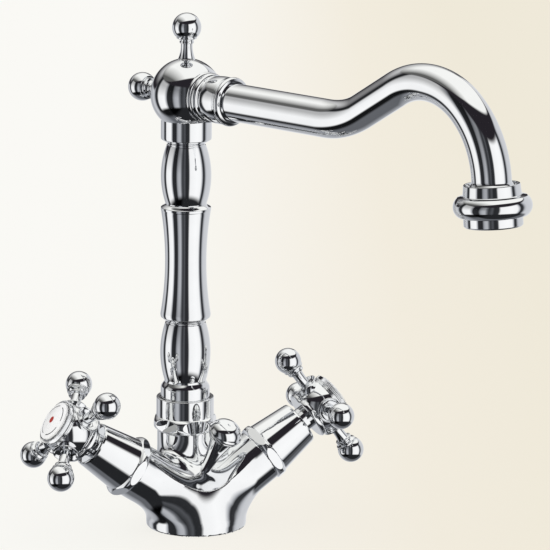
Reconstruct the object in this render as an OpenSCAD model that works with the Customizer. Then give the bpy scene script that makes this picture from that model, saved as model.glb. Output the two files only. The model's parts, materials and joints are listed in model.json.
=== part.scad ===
// Two-handle mixer faucet for one 35 mm deck hole, with a swivelling column
// spout, ceramic valves under cross handles, and a pull knob for the waste.
// Millimetres. The base stands on z = 0, the handles lie along X, and the user
// stands on the -Y side. The column stands behind the centre of the base.

/* [Body] */
// Diameter of the base on the deck
base_d = 51; // [50:0.5:56]
// Height of the upright wall round the base
base_wall_h = 5; // [3.5:0.5:6]
// Distance that the column stands behind the centre of the base
column_set_back = 16; // [14:0.5:17]
// Diameter of the neck under the swivel nut
neck_d = 28.8; // [28.4:0.2:30]
// Height of the shoulder that the swivel nut comes down to
neck_h = 46.5; // [44:0.5:52]
// Thread diameter of the two inlets in the underside
inlet_thread_d = 10; // [8:1:10]
// Thread diameter of the fixing stud's hole
stud_thread_d = 8; // [6:1:8]
// Depth of the cold inlet's thread
thread_depth = 13; // [12:0.5:14]

/* [Arms and valves] */
// Rise of each valve arm from level, in degrees
arm_rise = 34.7; // [32:0.1:37]
// Height at which the two arm axes meet above the deck
arm_axis_z = 8.5; // [8:0.5:11]
// Length of an arm from that meeting point to its end face
arm_len = 43; // [42:0.5:47]
// Diameter of an arm at its end face
arm_d = 29; // [28.6:0.2:30]
// Diameter of the valve thread in the arm
valve_thread_d = 16.6; // [16:0.1:17]
// Depth of the valve bore from the arm's end face
valve_bore_depth = 17; // [16:0.5:18]
// Diameter of the ceramic discs
disc_d = 13.4; // [12.8:0.1:13.6]
// Diameter of the valve spindle
spindle_d = 8; // [7:0.1:8.4]

/* [Sleeves] */
// Length of the conical sleeve that covers a valve
sleeve_len = 27.5; // [26.5:0.5:30]
// Diameter of the sleeve at its handle end
sleeve_end_d = 23.4; // [22.6:0.2:24.4]
// Diameter of the sleeve just outside its spanner ring
sleeve_root_d = 28.8; // [28:0.2:29.4]
// Diameter of the sleeve's barrel-shaped spanner ring
sleeve_ring_d = 33.2; // [32.6:0.2:34.2]
// Size across the flats cut into that ring
sleeve_flats = 30.2; // [29.6:0.1:30.8]

/* [Handles] */
// Distance from an arm's end face to the plane of its four spokes
spoke_plane = 41.1; // [40.5:0.1:44]
// Diameter of the neck that turns inside the sleeve
hub_neck_d = 13; // [12:0.2:13.2]
// Largest diameter of a hub
hub_d = 26.6; // [26:0.2:28]
// Diameter of the four cup-shaped bosses round a hub
boss_d = 13.4; // [12.6:0.2:14]
// Distance from the handle's axis to the rim of a boss
boss_reach = 15; // [14.5:0.5:16]
// Distance from the handle's axis to the centre of a ball
ball_reach = 30.3; // [29:0.1:34]
// Diameter of the balls on the spokes
ball_d = 14; // [13:0.2:14.6]
// Diameter of the knurled bezel
bezel_d = 24.6; // [24:0.2:25.4]
// Diameter of the porcelain index disc
index_d = 20.6; // [19:0.2:21]
// Turn of the hot handle's spokes when closed, in degrees
hot_turn = 43.5; // [0:0.5:90]
// Turn of the cold handle's spokes when closed, in degrees
cold_turn = 85.5; // [0:0.5:90]

/* [Column] */
// Length of the spout's tail below the swivel nut's top
tail_len = 30; // [28:0.5:32]
// Diameter of that tail, which turns in the neck
tail_d = 19; // [18:0.1:19.6]
// Height of the swivel nut
nut_h = 17.7; // [17:0.1:19]
// Diameter of the nut's upper, round part
nut_d = 29.8; // [29.4:0.2:31]
// Diameter of the nut's barrel-shaped spanner ring
nut_ring_d = 33.8; // [33:0.2:35]
// Size across the flats cut into that ring
nut_flats = 30.6; // [30:0.1:31.4]
// Diameter of the column's foot where it enters the nut
foot_d = 25.4; // [25:0.1:25.8]
// Length of the foot, from the nut's top to the groove above the lower bulb
foot_len = 39.8; // [38:0.5:46]
// Largest diameter of the two bulbs and of the waisted middle's ends
column_d = 26; // [25.6:0.2:27]
// Diameter at the ends of a bulb
bulb_end_d = 21; // [20.6:0.2:22]
// Diameter of the waist half way up the middle
waist_d = 21.3; // [20.6:0.1:22]
// Length of the waisted middle with its end rims
waist_len = 60; // [56:0.5:70]
// Length of the upper bulb
upper_bulb_len = 33; // [31:0.5:38]
// Bore of the water way through the column
water_d = 12; // [11:0.2:12.4]

/* [Head and spout] */
// Diameter of the ball at the column's head
head_d = 36.8; // [36:0.2:39]
// Height of the head's centre above the groove under its collar
head_rise = 25.2; // [24.6:0.2:28]
// Diameter of the balls on the two finials
finial_ball_d = 14.8; // [14:0.2:15.4]
// Distance from the head's centre to the centre of the top finial's ball
finial_reach = 34.2; // [33.4:0.2:38]
// Distance from the head's centre to the centre of the rear finial's ball
rear_reach = 32; // [31.6:0.2:36]
// Diameter of the spout tube
tube_d = 19; // [18:0.2:19.6]
// Bore of the spout tube at its ends
tube_bore = 16; // [14:0.2:16.4]
// Length of the ringed collar that joins the tube to the head
collar_len = 22; // [20:0.5:24]
// Diameter of the tube on the slope between its two bends
slope_d = 17.6; // [17:0.2:19]
// Distance from the column's axis to the first bend
tube_straight = 96.5; // [80:0.5:120]
// Radius of the first bend, which turns upward
bend_up_r = 45.5; // [40:0.5:60]
// Angle of the first bend, in degrees
bend_up_angle = 31.7; // [28:0.1:36]
// Straight length between the bends
slope_len = 25.4; // [20:0.2:30]
// Radius over the crown of the spout
crown_r = 37.2; // [34:0.2:42]
// Angle over the crown, in degrees
crown_angle = 73; // [68:0.5:78]
// Radius of the fall from the crown to the outlet
fall_r = 48.4; // [44:0.2:56]
// Lean of the outlet from upright, in degrees
outlet_lean = 5; // [2:0.5:8]
// Spout's turn to the right of straight ahead, in degrees
spout_turn = 23; // [-90:1:90]

/* [Outlet] */
// Diameter of the outlet cup at its rim
cup_rim_d = 27; // [26.6:0.1:27.4]
// Diameter of the outlet cup at its foot
cup_foot_d = 28.6; // [28:0.1:29.6]
// Height of the outlet from its rim to the aerator's ring
outlet_h = 15.4; // [15:0.1:16]
// Diameter of the ring that swells round the outlet
bead_d = 37.8; // [37:0.2:39]
// Diameter of the aerator's visible ring
aerator_d = 28.2; // [27.6:0.2:29]
// Height of that ring
aerator_ring_h = 4.8; // [4.4:0.1:5.2]
// Diameter of the aerator's thread
aerator_thread_d = 22; // [21.6:0.1:22.4]

/* [Waste knob] */
// Lean of the knob's rod from upright, in degrees
knob_lean = 32.4; // [30:0.1:34]
// Direction of that lean from straight ahead to the right, in degrees
knob_aim = 24; // [20:1:28]
// Diameter of the rod
rod_d = 4; // [3.6:0.1:4.4]
// Diameter of the knob's cap
knob_d = 18; // [17:0.2:19]
// Diameter at the narrow end of the knob's cone
knob_tip_d = 5.4; // [5:0.2:6]
// Length of the knob's cone
knob_cone_len = 22.8; // [20:0.1:24]

/* [Fits] */
// Radial gap of a running or screwed fit
fit_gap = 0.05; // [0.03:0.01:0.08]
// Gap between surfaces that pass each other
move_gap = 0.35; // [0.3:0.05:0.4]

/* [Hidden] */
$fn = 96;

// Body
base_r = base_d / 2;
arm_r = arm_d / 2;
neck_r = neck_d / 2;
spigot_r = neck_r - 2;
spigot_h = nut_h - 7.2;
chamber_z = 17.2;
arm_fillet = 4;
core_fillet = 16;
core_rise = 18;
core_top_r = base_r - 10;
core_h = 19.5;
neck_fillet = 8;
flare_edge = 2;
flare_from = 4;
neck_from = 22;
neck_blend_h = neck_h - 8.5;
seal_groove = [base_r - 5.4, base_r - 2.6, 1.6];
inlet_x = 8;
inlet_y = -4;
hot_inlet_depth = thread_depth - 1.2;
stud_at = [7, 13];
stud_depth = thread_depth + 1.2;
duct_r = 3.3;
duct_start = inlet_x / cos(arm_rise) + 2;
loft_sides = 60;
loft_half = 16;
tube_sides = 40;

// Valve, measured along the arm from where the two axes meet
bore_end = arm_len - valve_bore_depth;
thread_r = valve_thread_d / 2;
disc_r = disc_d / 2;
disc_t = 3;
seal_t = 2.2;
disc_seat = bore_end + seal_t;
chamber_end = disc_seat + 2 * disc_t + 3;
valve_hex_af = 17;
valve_hex_h = 5;
valve_barrel_r = 7.4;
valve_end = arm_len + 17.5;
stem_r = spindle_d / 2;
port_r = 1.7;
port_at = disc_r / 2 + 0.1;

// Sleeve and handle, measured along the arm in the same way
ring_h = 5.4;
sleeve_end = arm_len + sleeve_len;
spokes_at = arm_len + spoke_plane;
hub_neck_r = hub_neck_d / 2;
hub_r = hub_d / 2;
hub_back = spokes_at - 9.4;
hub_front = spokes_at + 7.4;
hub_socket_end = hub_back + 2.6;
hub_web = 2.6;
screw_head_r = 3.8;
screw_head_clear_r = screw_head_r + 0.4;
screw_r = 1.6;
bezel_h = 3.2;
bezel_floor = 1;
bezel_boss_r = 9;
index_r = index_d / 2;
spline_teeth = 20;
knurl_teeth = 110;

// Column, measured upward from the deck
nut_top = neck_h + nut_h;
nut_web = nut_top - 2.9;
nut_web_t = 2;
foot_shoulder = nut_web + move_gap;
tail_r = tail_d / 2;
tail_end = nut_top - tail_len;
groove_1 = nut_top + foot_len;
middle_top = groove_1 + waist_len;
groove_2 = middle_top + upper_bulb_len;
head_z = groove_2 + head_rise;
column_r = column_d / 2;
bulb_end_r = bulb_end_d / 2;
bulb_drop = column_r - bulb_end_r;
water_r = water_d / 2;
spigot_len = 6;
joint_r = water_r + 1.9;
head_r = head_d / 2;
collar_r = column_r;
head_cavity_r = 9;
finial_foot_r = 4.4;
finial_sunk = 0.7;
bush_t = tail_len / 15;
port_thread_r = tube_d / 2 + 1.1;

// Spout path in its own upright plane, as [distance from column, height]
tube_r = tube_d / 2;
p_1 = [tube_straight, head_z];
c_1 = p_1 + [0, bend_up_r];
p_2 = c_1 + bend_up_r * [sin(bend_up_angle), -cos(bend_up_angle)];
p_3 = p_2 + slope_len * [cos(bend_up_angle), sin(bend_up_angle)];
c_2 = p_3 + crown_r * [sin(bend_up_angle), -cos(bend_up_angle)];
crown_end = 90 + bend_up_angle - crown_angle;
c_3 = c_2 + (crown_r - fall_r) * [cos(crown_end), sin(crown_end)];
p_5 = c_3 + fall_r * [cos(outlet_lean), sin(outlet_lean)];

// Spout collar, measured from the column's axis along the spout
collar_start = sqrt(head_r * head_r - pow(tube_r + 3.4, 2)) - 1.2;
collar_end = collar_start + collar_len;

// Outlet, measured downward from the cup's rim, which the tube's end enters
flare_len = 2.6;
flare_r = tube_r + 1.3;
tube_seat = 4.6;
rim_recess = 1.8;
thread_top = 8.5;
outlet_thread_r = aerator_thread_d / 2;
washer_t = 1.5;

// Waste knob, measured along its rod from where it enters the body
knob_at = [3, -5, 30];
bush_r = 3;
bush_len = 9;
bush_sunk = 3.5;
rod_r = rod_d / 2;
rod_clear_r = rod_r + 0.8;
knob_way = 2.2 * knob_cone_len;
rod_way = knob_at[2] / cos(knob_lean) + rod_clear_r;
cap_r = knob_d / 2;

function mix(a, b, t) = a + (b - a) * t;
function curve(a, b, c, t) = mix(mix(a, b, t), mix(b, c, t), t);
function ease(t) = t * t * (3 - 2 * t);

// ---- frames -------------------------------------------------------------

// Children stand with +Z along an arm, from where the two axes meet
module on_arm(side) {
    rotate([0, 0, side > 0 ? 0 : 180])
        translate([0, 0, arm_axis_z])
            rotate([0, 90 - arm_rise, 0])
                children();
}

module on_column() {
    translate([0, column_set_back, 0]) children();
}

// +X runs along the spout, +Z stays up
module along_spout() {
    on_column() rotate([0, 0, spout_turn - 90]) children();
}

// Children stand with +Z pointing up the outlet and z = 0 at the cup's rim
module at_outlet() {
    along_spout()
        translate([p_5[0], 0, p_5[1]])
            rotate([0, -outlet_lean, 0])
                children();
}

// Children stand with +Z up the knob's rod
module at_knob() {
    translate(knob_at)
        rotate([0, 0, knob_aim - 90])
            rotate([0, knob_lean, 0])
                children();
}

// ---- turned profiles ----------------------------------------------------

// A ring whose side bulges as one arc from r_max - drop to r_max
module barrel_2d(r_in, r_max, drop, z0, z1) {
    half = (z1 - z0) / 2;
    bulge_r = (half * half + drop * drop) / (2 * drop);
    intersection() {
        translate([r_in, z0]) square([r_max - r_in + 1, z1 - z0]);
        union() {
            translate([r_in, z0]) square([r_max - drop - r_in, z1 - z0]);
            translate([r_max - bulge_r, (z0 + z1) / 2]) circle(bulge_r, $fn = 360);
        }
    }
}

// A ring whose side is hollowed as one arc from r_end to r_end - dip
module waist_2d(r_in, r_end, dip, z0, z1) {
    half = (z1 - z0) / 2;
    hollow_r = (half * half + dip * dip) / (2 * dip);
    difference() {
        translate([r_in, z0]) square([r_end - r_in, z1 - z0]);
        translate([r_end - dip + hollow_r, (z0 + z1) / 2]) circle(hollow_r, $fn = 360);
    }
}

// A ring section between two heights
module band_2d(r_in, r_out, z0, z1) {
    translate([r_in, z0]) square([r_out - r_in, z1 - z0]);
}

// A conical ring section: radius r0 at z0, r1 at z1
module taper_2d(r_in, r0, r1, z0, z1) {
    polygon([[r_in, z0], [r0, z0], [r1, z1], [r_in, z1]]);
}

// A turned ball on a cupped ring and a hollowed stem, with a screwed pin.
// The ball's centre is at the origin and the stem hangs down.
module ball_end(ball_r, ring_r, stem_r, foot_r, stem_len, pin_r, pin_len) {
    ring_z = -0.72 * ball_r;
    cup_z = ring_z - 0.3 * ball_r;
    foot_z = ring_z - stem_len;
    rotate_extrude()
        union() {
            intersection() {
                circle(ball_r);
                translate([0, -ball_r]) square([ball_r, 2 * ball_r]);
            }
            taper_2d(0, stem_r + 0.4, ring_r, cup_z, ring_z);
            taper_2d(0, ring_r, ring_r - 0.7, ring_z, ring_z + 0.6);
            waist_2d(0, stem_r + 0.9, 0.9, cup_z - 3.2, cup_z + 0.1);
            taper_2d(0, foot_r, stem_r + 0.5, foot_z, cup_z - 3.1);
            band_2d(0, pin_r, foot_z - pin_len, foot_z + 0.1);
        }
}

// ---- body ---------------------------------------------------------------

// Skin over a stack of rings that all have the same number of points
module skin(rings) {
    n = len(rings[0]);
    m = len(rings);
    points = [for (ring = rings) for (p = ring) p];
    walls = [
        for (j = [0 : m - 2]) for (i = [0 : n - 1])
            [j * n + i, (j + 1) * n + i, (j + 1) * n + (i + 1) % n, j * n + (i + 1) % n]
    ];
    bottom = [for (i = [0 : n - 1]) i];
    top = [for (i = [0 : n - 1]) (m - 1) * n + (n - 1 - i)];
    polyhedron(points, concat([bottom], walls, [top]), convexity = 6);
}

// Joins two distances into one, with a fillet of about the given size
function blended(a, b, size) =
    let (h = min(1, max(0, 0.5 + (b - a) / (2 * size))))
    mix(b, a, h) - size * h * (1 - h);

// How far a point is outside one arm, whose inner end is a half ball
function arm_gap(p, side) =
    let (
        q = p - [0, 0, arm_axis_z],
        d = side * q[0] * cos(arm_rise) + q[2] * sin(arm_rise)
    )
    sqrt(max(0, q * q - d * d) + pow(min(d, 0), 2)) - arm_r;

// How far a point is outside the cone that fills the body between its arms, a
// little inside the exact round wall of the foot
function core_gap(p) =
    let (t = min(1.2, max(0, (p[2] - flare_from) / core_rise)))
    0.92 * max(norm([p[0], p[1]]) - mix(base_r - 0.4, core_top_r, t), p[2] - core_h);

// How far a point is outside the low part of the neck
function neck_gap(p) =
    max(norm([p[0], p[1] - column_set_back]) - neck_r + 0.1, p[2] - neck_blend_h);

// How far a point is outside the flare that spreads upward from the foot
function flare_gap(p) =
    let (up = max(0, p[2] - flare_from))
    norm([p[0], p[1]]) - base_r + 0.4 - 0.5 * up - 0.09 * up * up;

// How far a point is outside the cast body
function body_gap(p) =
    let (
        arms = blended(arm_gap(p, -1), arm_gap(p, 1), arm_fillet),
        footed = blended(arms, core_gap(p), core_fillet),
        whole = blended(footed, neck_gap(p), neck_fillet)
    )
    max(-blended(-whole, -flare_gap(p), flare_edge), 0.5 - p[2]);

// Distance along a line from inside the body to its surface
function reach(from, way, low, high, steps) =
    let (half = (low + high) / 2)
    steps == 0 ? half
    : body_gap(from + half * way) < 0 ? reach(from, way, half, high, steps - 1)
    : reach(from, way, low, half, steps - 1);

// Share of the arm's rise at which a ring stands, closest beside the neck
function ring_share(v) = 0.33 + 0.25 * v + 0.17 * v * v + 0.25 * v * v * v;

// Angle of a point round a ring, closest where the foot's front edge lies
function ring_angle(u, share) = u - 19 * sin(2 * (u - 193 - 60 * min(share, 0.42)));

// One ring of the body, in a plane that turns from upright at the middle to
// the arm's end face, about the line in which the two end faces meet
function body_ring(turn) =
    let (
        share = abs(turn) / arm_rise,
        hinge_z = arm_axis_z + arm_len / sin(arm_rise),
        middle_z = mix(13, arm_axis_z + arm_len * sin(arm_rise), pow(share, 1.2)),
        drop = (hinge_z - middle_z) / cos(turn),
        up = [-sin(turn), 0, cos(turn)],
        from = [0, max(0, 10 - 24 * share), hinge_z] - drop * up
    )
    [for (i = [0 : loft_sides - 1])
        let (a = ring_angle(360 * (i + 0.5) / loft_sides, share), way = [0, cos(a), 0] + sin(a) * up)
        from + reach(from, way, 0, 60, 15) * way
    ];

module body_outside() {
    rotate_extrude()
        union() {
            band_2d(0, base_r, 0, base_wall_h);
            taper_2d(0, base_r, base_r - 0.6, base_wall_h - 0.1, base_wall_h + 0.5);
        }
    skin([
        for (j = [-loft_half : loft_half])
            body_ring(sign(j) * arm_rise * ring_share(2 * abs(j) / loft_half - 1))
    ]);
    on_column() {
        translate([0, 0, neck_from]) cylinder(r = neck_r, h = neck_h - neck_from);
        cylinder(r = spigot_r, h = neck_h + spigot_h);
    }
}

module valve_bore() {
    translate([0, 0, bore_end]) cylinder(r = thread_r + fit_gap, h = valve_bore_depth + 1);
    translate([0, 0, duct_start]) cylinder(r = duct_r, h = bore_end);
}

// Way from the windows of a valve to the mixing chamber under the column
module mixing_duct(side) {
    mouth = bore_end + seal_t + disc_t / 2;
    from = [side * mouth * cos(arm_rise), 0, arm_axis_z + mouth * sin(arm_rise)];
    to = [0, column_set_back, chamber_z + 6];
    way = to - from;
    translate(from)
        rotate([0, 0, atan2(way[1], way[0])])
            rotate([0, acos(way[2] / norm(way)), 0])
                cylinder(r = duct_r - 0.5, h = norm(way));
}

module mixer_body() {
    color("gainsboro")
        difference() {
            body_outside();
            for (side = [-1, 1]) {
                depth = side < 0 ? hot_inlet_depth : thread_depth;
                on_arm(side) valve_bore();
                mixing_duct(side);
                translate([side * inlet_x, inlet_y, -1])
                    cylinder(r = inlet_thread_d / 2, h = depth + 1);
                translate([side * (inlet_x + 0.7), inlet_y + 1.9, depth - 0.5])
                    cylinder(r = 1.8, h = 5);
            }
            translate([stud_at[0], stud_at[1], -1])
                cylinder(r = stud_thread_d / 2, h = stud_depth + 1);
            on_column() {
                translate([0, 0, tail_end - 1]) cylinder(r = tail_r + fit_gap, h = neck_h);
                translate([0, 0, chamber_z]) cylinder(r = 6.5, h = tail_end);
            }
            at_knob() {
                translate([0, 0, -bush_len]) cylinder(r = bush_r + fit_gap, h = bush_len + knob_way);
                translate([0, 0, -rod_way]) cylinder(r = rod_clear_r, h = rod_way);
            }
            rotate_extrude()
                band_2d(seal_groove[0], seal_groove[1], -1, seal_groove[2]);
        }
}

module base_seal() {
    color("dimgray")
        rotate_extrude()
            band_2d(seal_groove[0] + fit_gap, seal_groove[1] - fit_gap, 0, seal_groove[2]);
}

module swivel_nut() {
    color("silver")
        on_column() {
            difference() {
                union() {
                    intersection() {
                        rotate_extrude()
                            barrel_2d(0, nut_ring_d / 2, 2.2, neck_h + 0.3, neck_h + 8.2);
                        cylinder(r = nut_flats / 2 / cos(30), h = nut_top, $fn = 6);
                    }
                    rotate_extrude() {
                        taper_2d(0, nut_d / 2 + 0.5, nut_d / 2, neck_h + 7, neck_h + 9.6);
                        band_2d(0, nut_d / 2, neck_h + 9.5, nut_top - 0.7);
                        taper_2d(0, nut_d / 2, nut_d / 2 - 0.6, nut_top - 0.7, nut_top);
                    }
                }
                cylinder(r = spigot_r + fit_gap, h = nut_web - nut_web_t);
                cylinder(r = tail_r + 0.5, h = nut_top);
                translate([0, 0, nut_web]) cylinder(r = foot_d / 2 + move_gap, h = nut_h);
            }
        }
}

// ---- valves -------------------------------------------------------------

module valve_body() {
    difference() {
        union() {
            translate([0, 0, bore_end + 0.6]) cylinder(r = thread_r, h = valve_bore_depth);
            translate([0, 0, arm_len])
                cylinder(r = valve_hex_af / 2 / cos(30), h = valve_hex_h, $fn = 6);
            translate([0, 0, arm_len]) cylinder(r = valve_barrel_r, h = valve_end - arm_len);
        }
        translate([0, 0, bore_end]) cylinder(r = disc_r + fit_gap, h = chamber_end - bore_end);
        translate([0, 0, bore_end]) cylinder(r = stem_r + fit_gap, h = arm_len);
        for (turn = [0, 180])
            rotate([0, 0, turn])
                translate([0, -3, disc_seat + 0.3]) cube([thread_r + 1, 6, disc_t]);
    }
}

module seat_seal() {
    translate([0, 0, bore_end])
        difference() {
            cylinder(r = disc_r - 0.2, h = seal_t);
            translate([0, 0, -1]) cylinder(r = duct_r, h = seal_t + 2);
        }
}

module disc_ports(z0) {
    for (turn = [0, 180])
        rotate([0, 0, turn]) translate([port_at, 0, z0]) cylinder(r = port_r, h = disc_t + 2);
}

module fixed_disc() {
    difference() {
        translate([0, 0, disc_seat]) cylinder(r = disc_r, h = disc_t);
        disc_ports(disc_seat - 1);
    }
}

module moving_disc() {
    z0 = disc_seat + disc_t + fit_gap;
    difference() {
        translate([0, 0, z0]) cylinder(r = disc_r - 0.2, h = disc_t);
        rotate([0, 0, 90]) disc_ports(z0 - 3);
        translate([-disc_r, -1.6, z0 + disc_t - 1.2]) cube([2 * disc_r, 3.2, 2]);
    }
}

module spindle() {
    foot_z = disc_seat + 2 * disc_t + 2 * fit_gap;
    spline_z = valve_end + 3;
    color("goldenrod")
        difference() {
            union() {
                translate([0, 0, foot_z]) cylinder(r = disc_r - 0.3, h = 2.4);
                translate([-5, -1.5, foot_z - 1.1]) cube([10, 3, 2]);
                translate([0, 0, foot_z]) cylinder(r = stem_r, h = spline_z - foot_z);
                translate([0, 0, spline_z])
                    linear_extrude(hub_socket_end - spline_z - 0.3)
                        toothed_2d(stem_r - 0.45, stem_r - 0.05, spline_teeth);
            }
            translate([0, 0, hub_socket_end - 10]) cylinder(r = screw_r + fit_gap, h = 12);
            translate([0, 0, arm_len + 8])
                rotate_extrude()
                    band_2d(stem_r - 1.2, stem_r + 1, 0, 1.8);
        }
}

// Round bar or bezel with shallow teeth all round
module toothed_2d(r_low, r_high, teeth) {
    polygon([
        for (i = [0 : 2 * teeth - 1])
            let (r = i % 2 == 0 ? r_high : r_low, a = 180 * i / teeth)
            r * [cos(a), sin(a)]
    ]);
}

module stem_seal() {
    color("black")
        translate([0, 0, arm_len + 8.9])
            rotate_extrude() translate([stem_r - 0.57, 0]) circle(0.6, $fn = 24);
}

module sleeve() {
    color("silver")
        difference() {
            union() {
                intersection() {
                    translate([0, 0, arm_len])
                        rotate_extrude()
                            barrel_2d(0, sleeve_ring_d / 2, 1.7, 0, ring_h);
                    cylinder(r = sleeve_flats / 2 / cos(30), h = sleeve_end, $fn = 6);
                }
                rotate_extrude() {
                    taper_2d(0, sleeve_root_d / 2, sleeve_end_d / 2,
                        arm_len + ring_h - 0.6, sleeve_end - 1);
                    taper_2d(0, sleeve_end_d / 2, sleeve_end_d / 2 - 0.8, sleeve_end - 1, sleeve_end);
                }
            }
            cylinder(r = valve_hex_af / 2 / cos(30) + move_gap, h = arm_len + valve_hex_h + 4);
            cylinder(r = valve_barrel_r + fit_gap, h = valve_end + move_gap);
            cylinder(r = hub_neck_r + move_gap, h = sleeve_end + 1);
        }
}

// ---- handles ------------------------------------------------------------

// Children stand with +Z along a spoke, from the handle's axis outward
module round_spokes() {
    for (quarter = [0 : 3])
        translate([0, 0, spokes_at])
            rotate([0, 0, 90 * quarter])
                rotate([0, 90, 0])
                    children();
}

module hub() {
    pin_hole_r = 2.2 + fit_gap;
    color("silver")
        difference() {
            union() {
                rotate_extrude() {
                    band_2d(0, hub_neck_r, valve_end + 1, hub_back + 0.5);
                    taper_2d(0, hub_r - 0.8, hub_r, hub_back, hub_back + 0.8);
                    band_2d(0, hub_r, hub_back + 0.7, hub_back + 2.2);
                    taper_2d(0, hub_r, hub_r - 0.6, hub_back + 2.1, hub_back + 2.8);
                    band_2d(0, hub_r - 0.8, hub_back + 2.7, hub_back + 3.4);
                    barrel_2d(0, hub_r, 1.2, hub_back + 3.3, hub_front - 1.6);
                    band_2d(0, bezel_d / 2 - 0.5, hub_front - 1.7, hub_front - 1.3);
                    band_2d(0, bezel_d / 2 + 0.1, hub_front - 1.4, hub_front);
                }
                round_spokes()
                    rotate_extrude()
                        polygon([
                            [0, 5], [boss_d / 2 - 1.2, 5], [boss_d / 2 - 0.6, boss_reach - 2.2],
                            [boss_d / 2, boss_reach - 0.8], [boss_d / 2, boss_reach - 0.2],
                            [boss_d / 2 - 0.4, boss_reach], [0, boss_reach]
                        ]);
            }
            round_spokes() {
                translate([0, 0, boss_reach - 6]) cylinder(r = pin_hole_r, h = 8);
                translate([0, 0, boss_reach - 1.8])
                    cylinder(r1 = 4.6, r2 = boss_d / 2 - 0.7, h = 2);
            }
            cylinder(r = stem_r, h = hub_socket_end);
            cylinder(r = screw_r + 0.5, h = hub_front);
            translate([0, 0, hub_socket_end + hub_web]) cylinder(r = screw_head_clear_r, h = hub_front);
            translate([0, 0, hub_front - 2.4]) cylinder(r = bezel_boss_r + fit_gap, h = 5);
        }
}

module spokes() {
    color("silver")
        round_spokes()
            translate([0, 0, ball_reach])
                ball_end(ball_d / 2, 4.9, 2.8, 4.4, ball_reach - boss_reach + 1.75 - 0.36 * ball_d, 2.2, 4);
}

module handle_screw() {
    head_z = hub_socket_end + hub_web;
    color("goldenrod")
        difference() {
            union() {
                translate([0, 0, head_z]) cylinder(r = screw_head_r, h = 3.2);
                translate([0, 0, head_z - 9.5]) cylinder(r = screw_r, h = 9.6);
            }
            translate([0, 0, head_z + 1.2]) cylinder(r = 1.7, h = 3, $fn = 6);
        }
}

module bezel() {
    color("silver")
        difference() {
            union() {
                translate([0, 0, hub_front])
                    linear_extrude(bezel_h)
                        toothed_2d(bezel_d / 2 - 0.3, bezel_d / 2, knurl_teeth);
                translate([0, 0, hub_front - 2.3]) cylinder(r = bezel_boss_r, h = 2.4);
            }
            translate([0, 0, hub_front + bezel_floor]) cylinder(r = index_r + fit_gap, h = bezel_h);
            translate([0, 0, hub_front - 3]) cylinder(r = screw_head_clear_r, h = bezel_h);
        }
}

module index_disc() {
    seat = hub_front + bezel_floor;
    edge_h = bezel_h - bezel_floor + 0.1;
    dome_rise = 1.3;
    dome_r = (index_r * index_r + dome_rise * dome_rise) / (2 * dome_rise);
    color("white")
        rotate_extrude()
            intersection() {
                band_2d(0, index_r, seat, seat + edge_h + dome_rise + 1);
                translate([0, seat + edge_h + dome_rise - dome_r]) circle(dome_r, $fn = 360);
            }
}

// ---- column -------------------------------------------------------------

module column_foot() {
    color("silver")
        on_column()
            difference() {
                rotate_extrude() {
                    band_2d(0, tail_r, tail_end, foot_shoulder + 0.1);
                    band_2d(0, foot_d / 2, foot_shoulder, nut_top + 5);
                    taper_2d(0, foot_d / 2, foot_d / 2 - 0.7, nut_top + 5, nut_top + 6.2);
                    taper_2d(0, foot_d / 2 - 0.7, bulb_end_r - 0.3, nut_top + 6.2, nut_top + 7.4);
                    band_2d(0, bulb_end_r - 0.3, nut_top + 7.3, nut_top + 9.5);
                    barrel_2d(0, column_r, bulb_drop, nut_top + 8.4, groove_1 - 0.4);
                    band_2d(0, bulb_end_r - 0.9, groove_1 - 0.6, groove_1);
                    band_2d(0, joint_r, groove_1 - 1, groove_1 + spigot_len);
                }
                cylinder(r = water_r, h = middle_top);
                translate([0, 0, bush_z]) bush_groove(1.2 + fit_gap, bush_t + 2 * fit_gap);
                for (z = seal_z) translate([0, 0, z - 1.2]) bush_groove(1.7, 2.4);
            }
}

// Where the bush and the two seals sit on the tail
bush_z = neck_h + spigot_h + 0.2;
seal_z = [tail_end + 0.13 * tail_len, tail_end + 0.3 * tail_len];

module bush_groove(depth, height) {
    rotate_extrude() band_2d(tail_r - depth, tail_r + 2, 0, height);
}

module swivel_bush() {
    color("ivory")
        on_column()
            translate([0, 0, bush_z + fit_gap])
                difference() {
                    rotate_extrude() band_2d(tail_r - 1.2, spigot_r - 0.5, 0, bush_t);
                    translate([0, -0.75, -1]) cube([spigot_r + 1, 1.5, bush_t + 2]);
                }
}

module swivel_seals() {
    color("black")
        on_column()
            for (z = seal_z)
                translate([0, 0, z])
                    rotate_extrude()
                        translate([tail_r - 0.85, 0]) circle(0.85, $fn = 32);
}

module column_shaft() {
    color("silver")
        on_column()
            difference() {
                rotate_extrude() {
                    band_2d(0, bulb_end_r - 0.6, groove_1, groove_1 + 1);
                    taper_2d(0, bulb_end_r, column_r, groove_1 + 0.9, groove_1 + 2.4);
                    band_2d(0, column_r, groove_1 + 2.3, groove_1 + 4);
                    waist_2d(0, column_r, column_r - waist_d / 2, groove_1 + 3.9, middle_top - 1.6);
                    barrel_2d(0, column_r - 0.3, 0.7, middle_top - 1.7, middle_top + 0.6);
                    taper_2d(0, column_r - 1.6, bulb_end_r - 0.3, middle_top + 0.5, middle_top + 2);
                    barrel_2d(0, column_r, bulb_drop, middle_top + 1.9, groove_2 - 0.8);
                    band_2d(0, bulb_end_r - 1.1, groove_2 - 1, groove_2);
                    band_2d(0, joint_r, groove_2 - 1, groove_2 + spigot_len);
                }
                cylinder(r = water_r, h = head_z);
                cylinder(r = joint_r + fit_gap, h = groove_1 + spigot_len + 0.2);
            }
}

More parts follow.
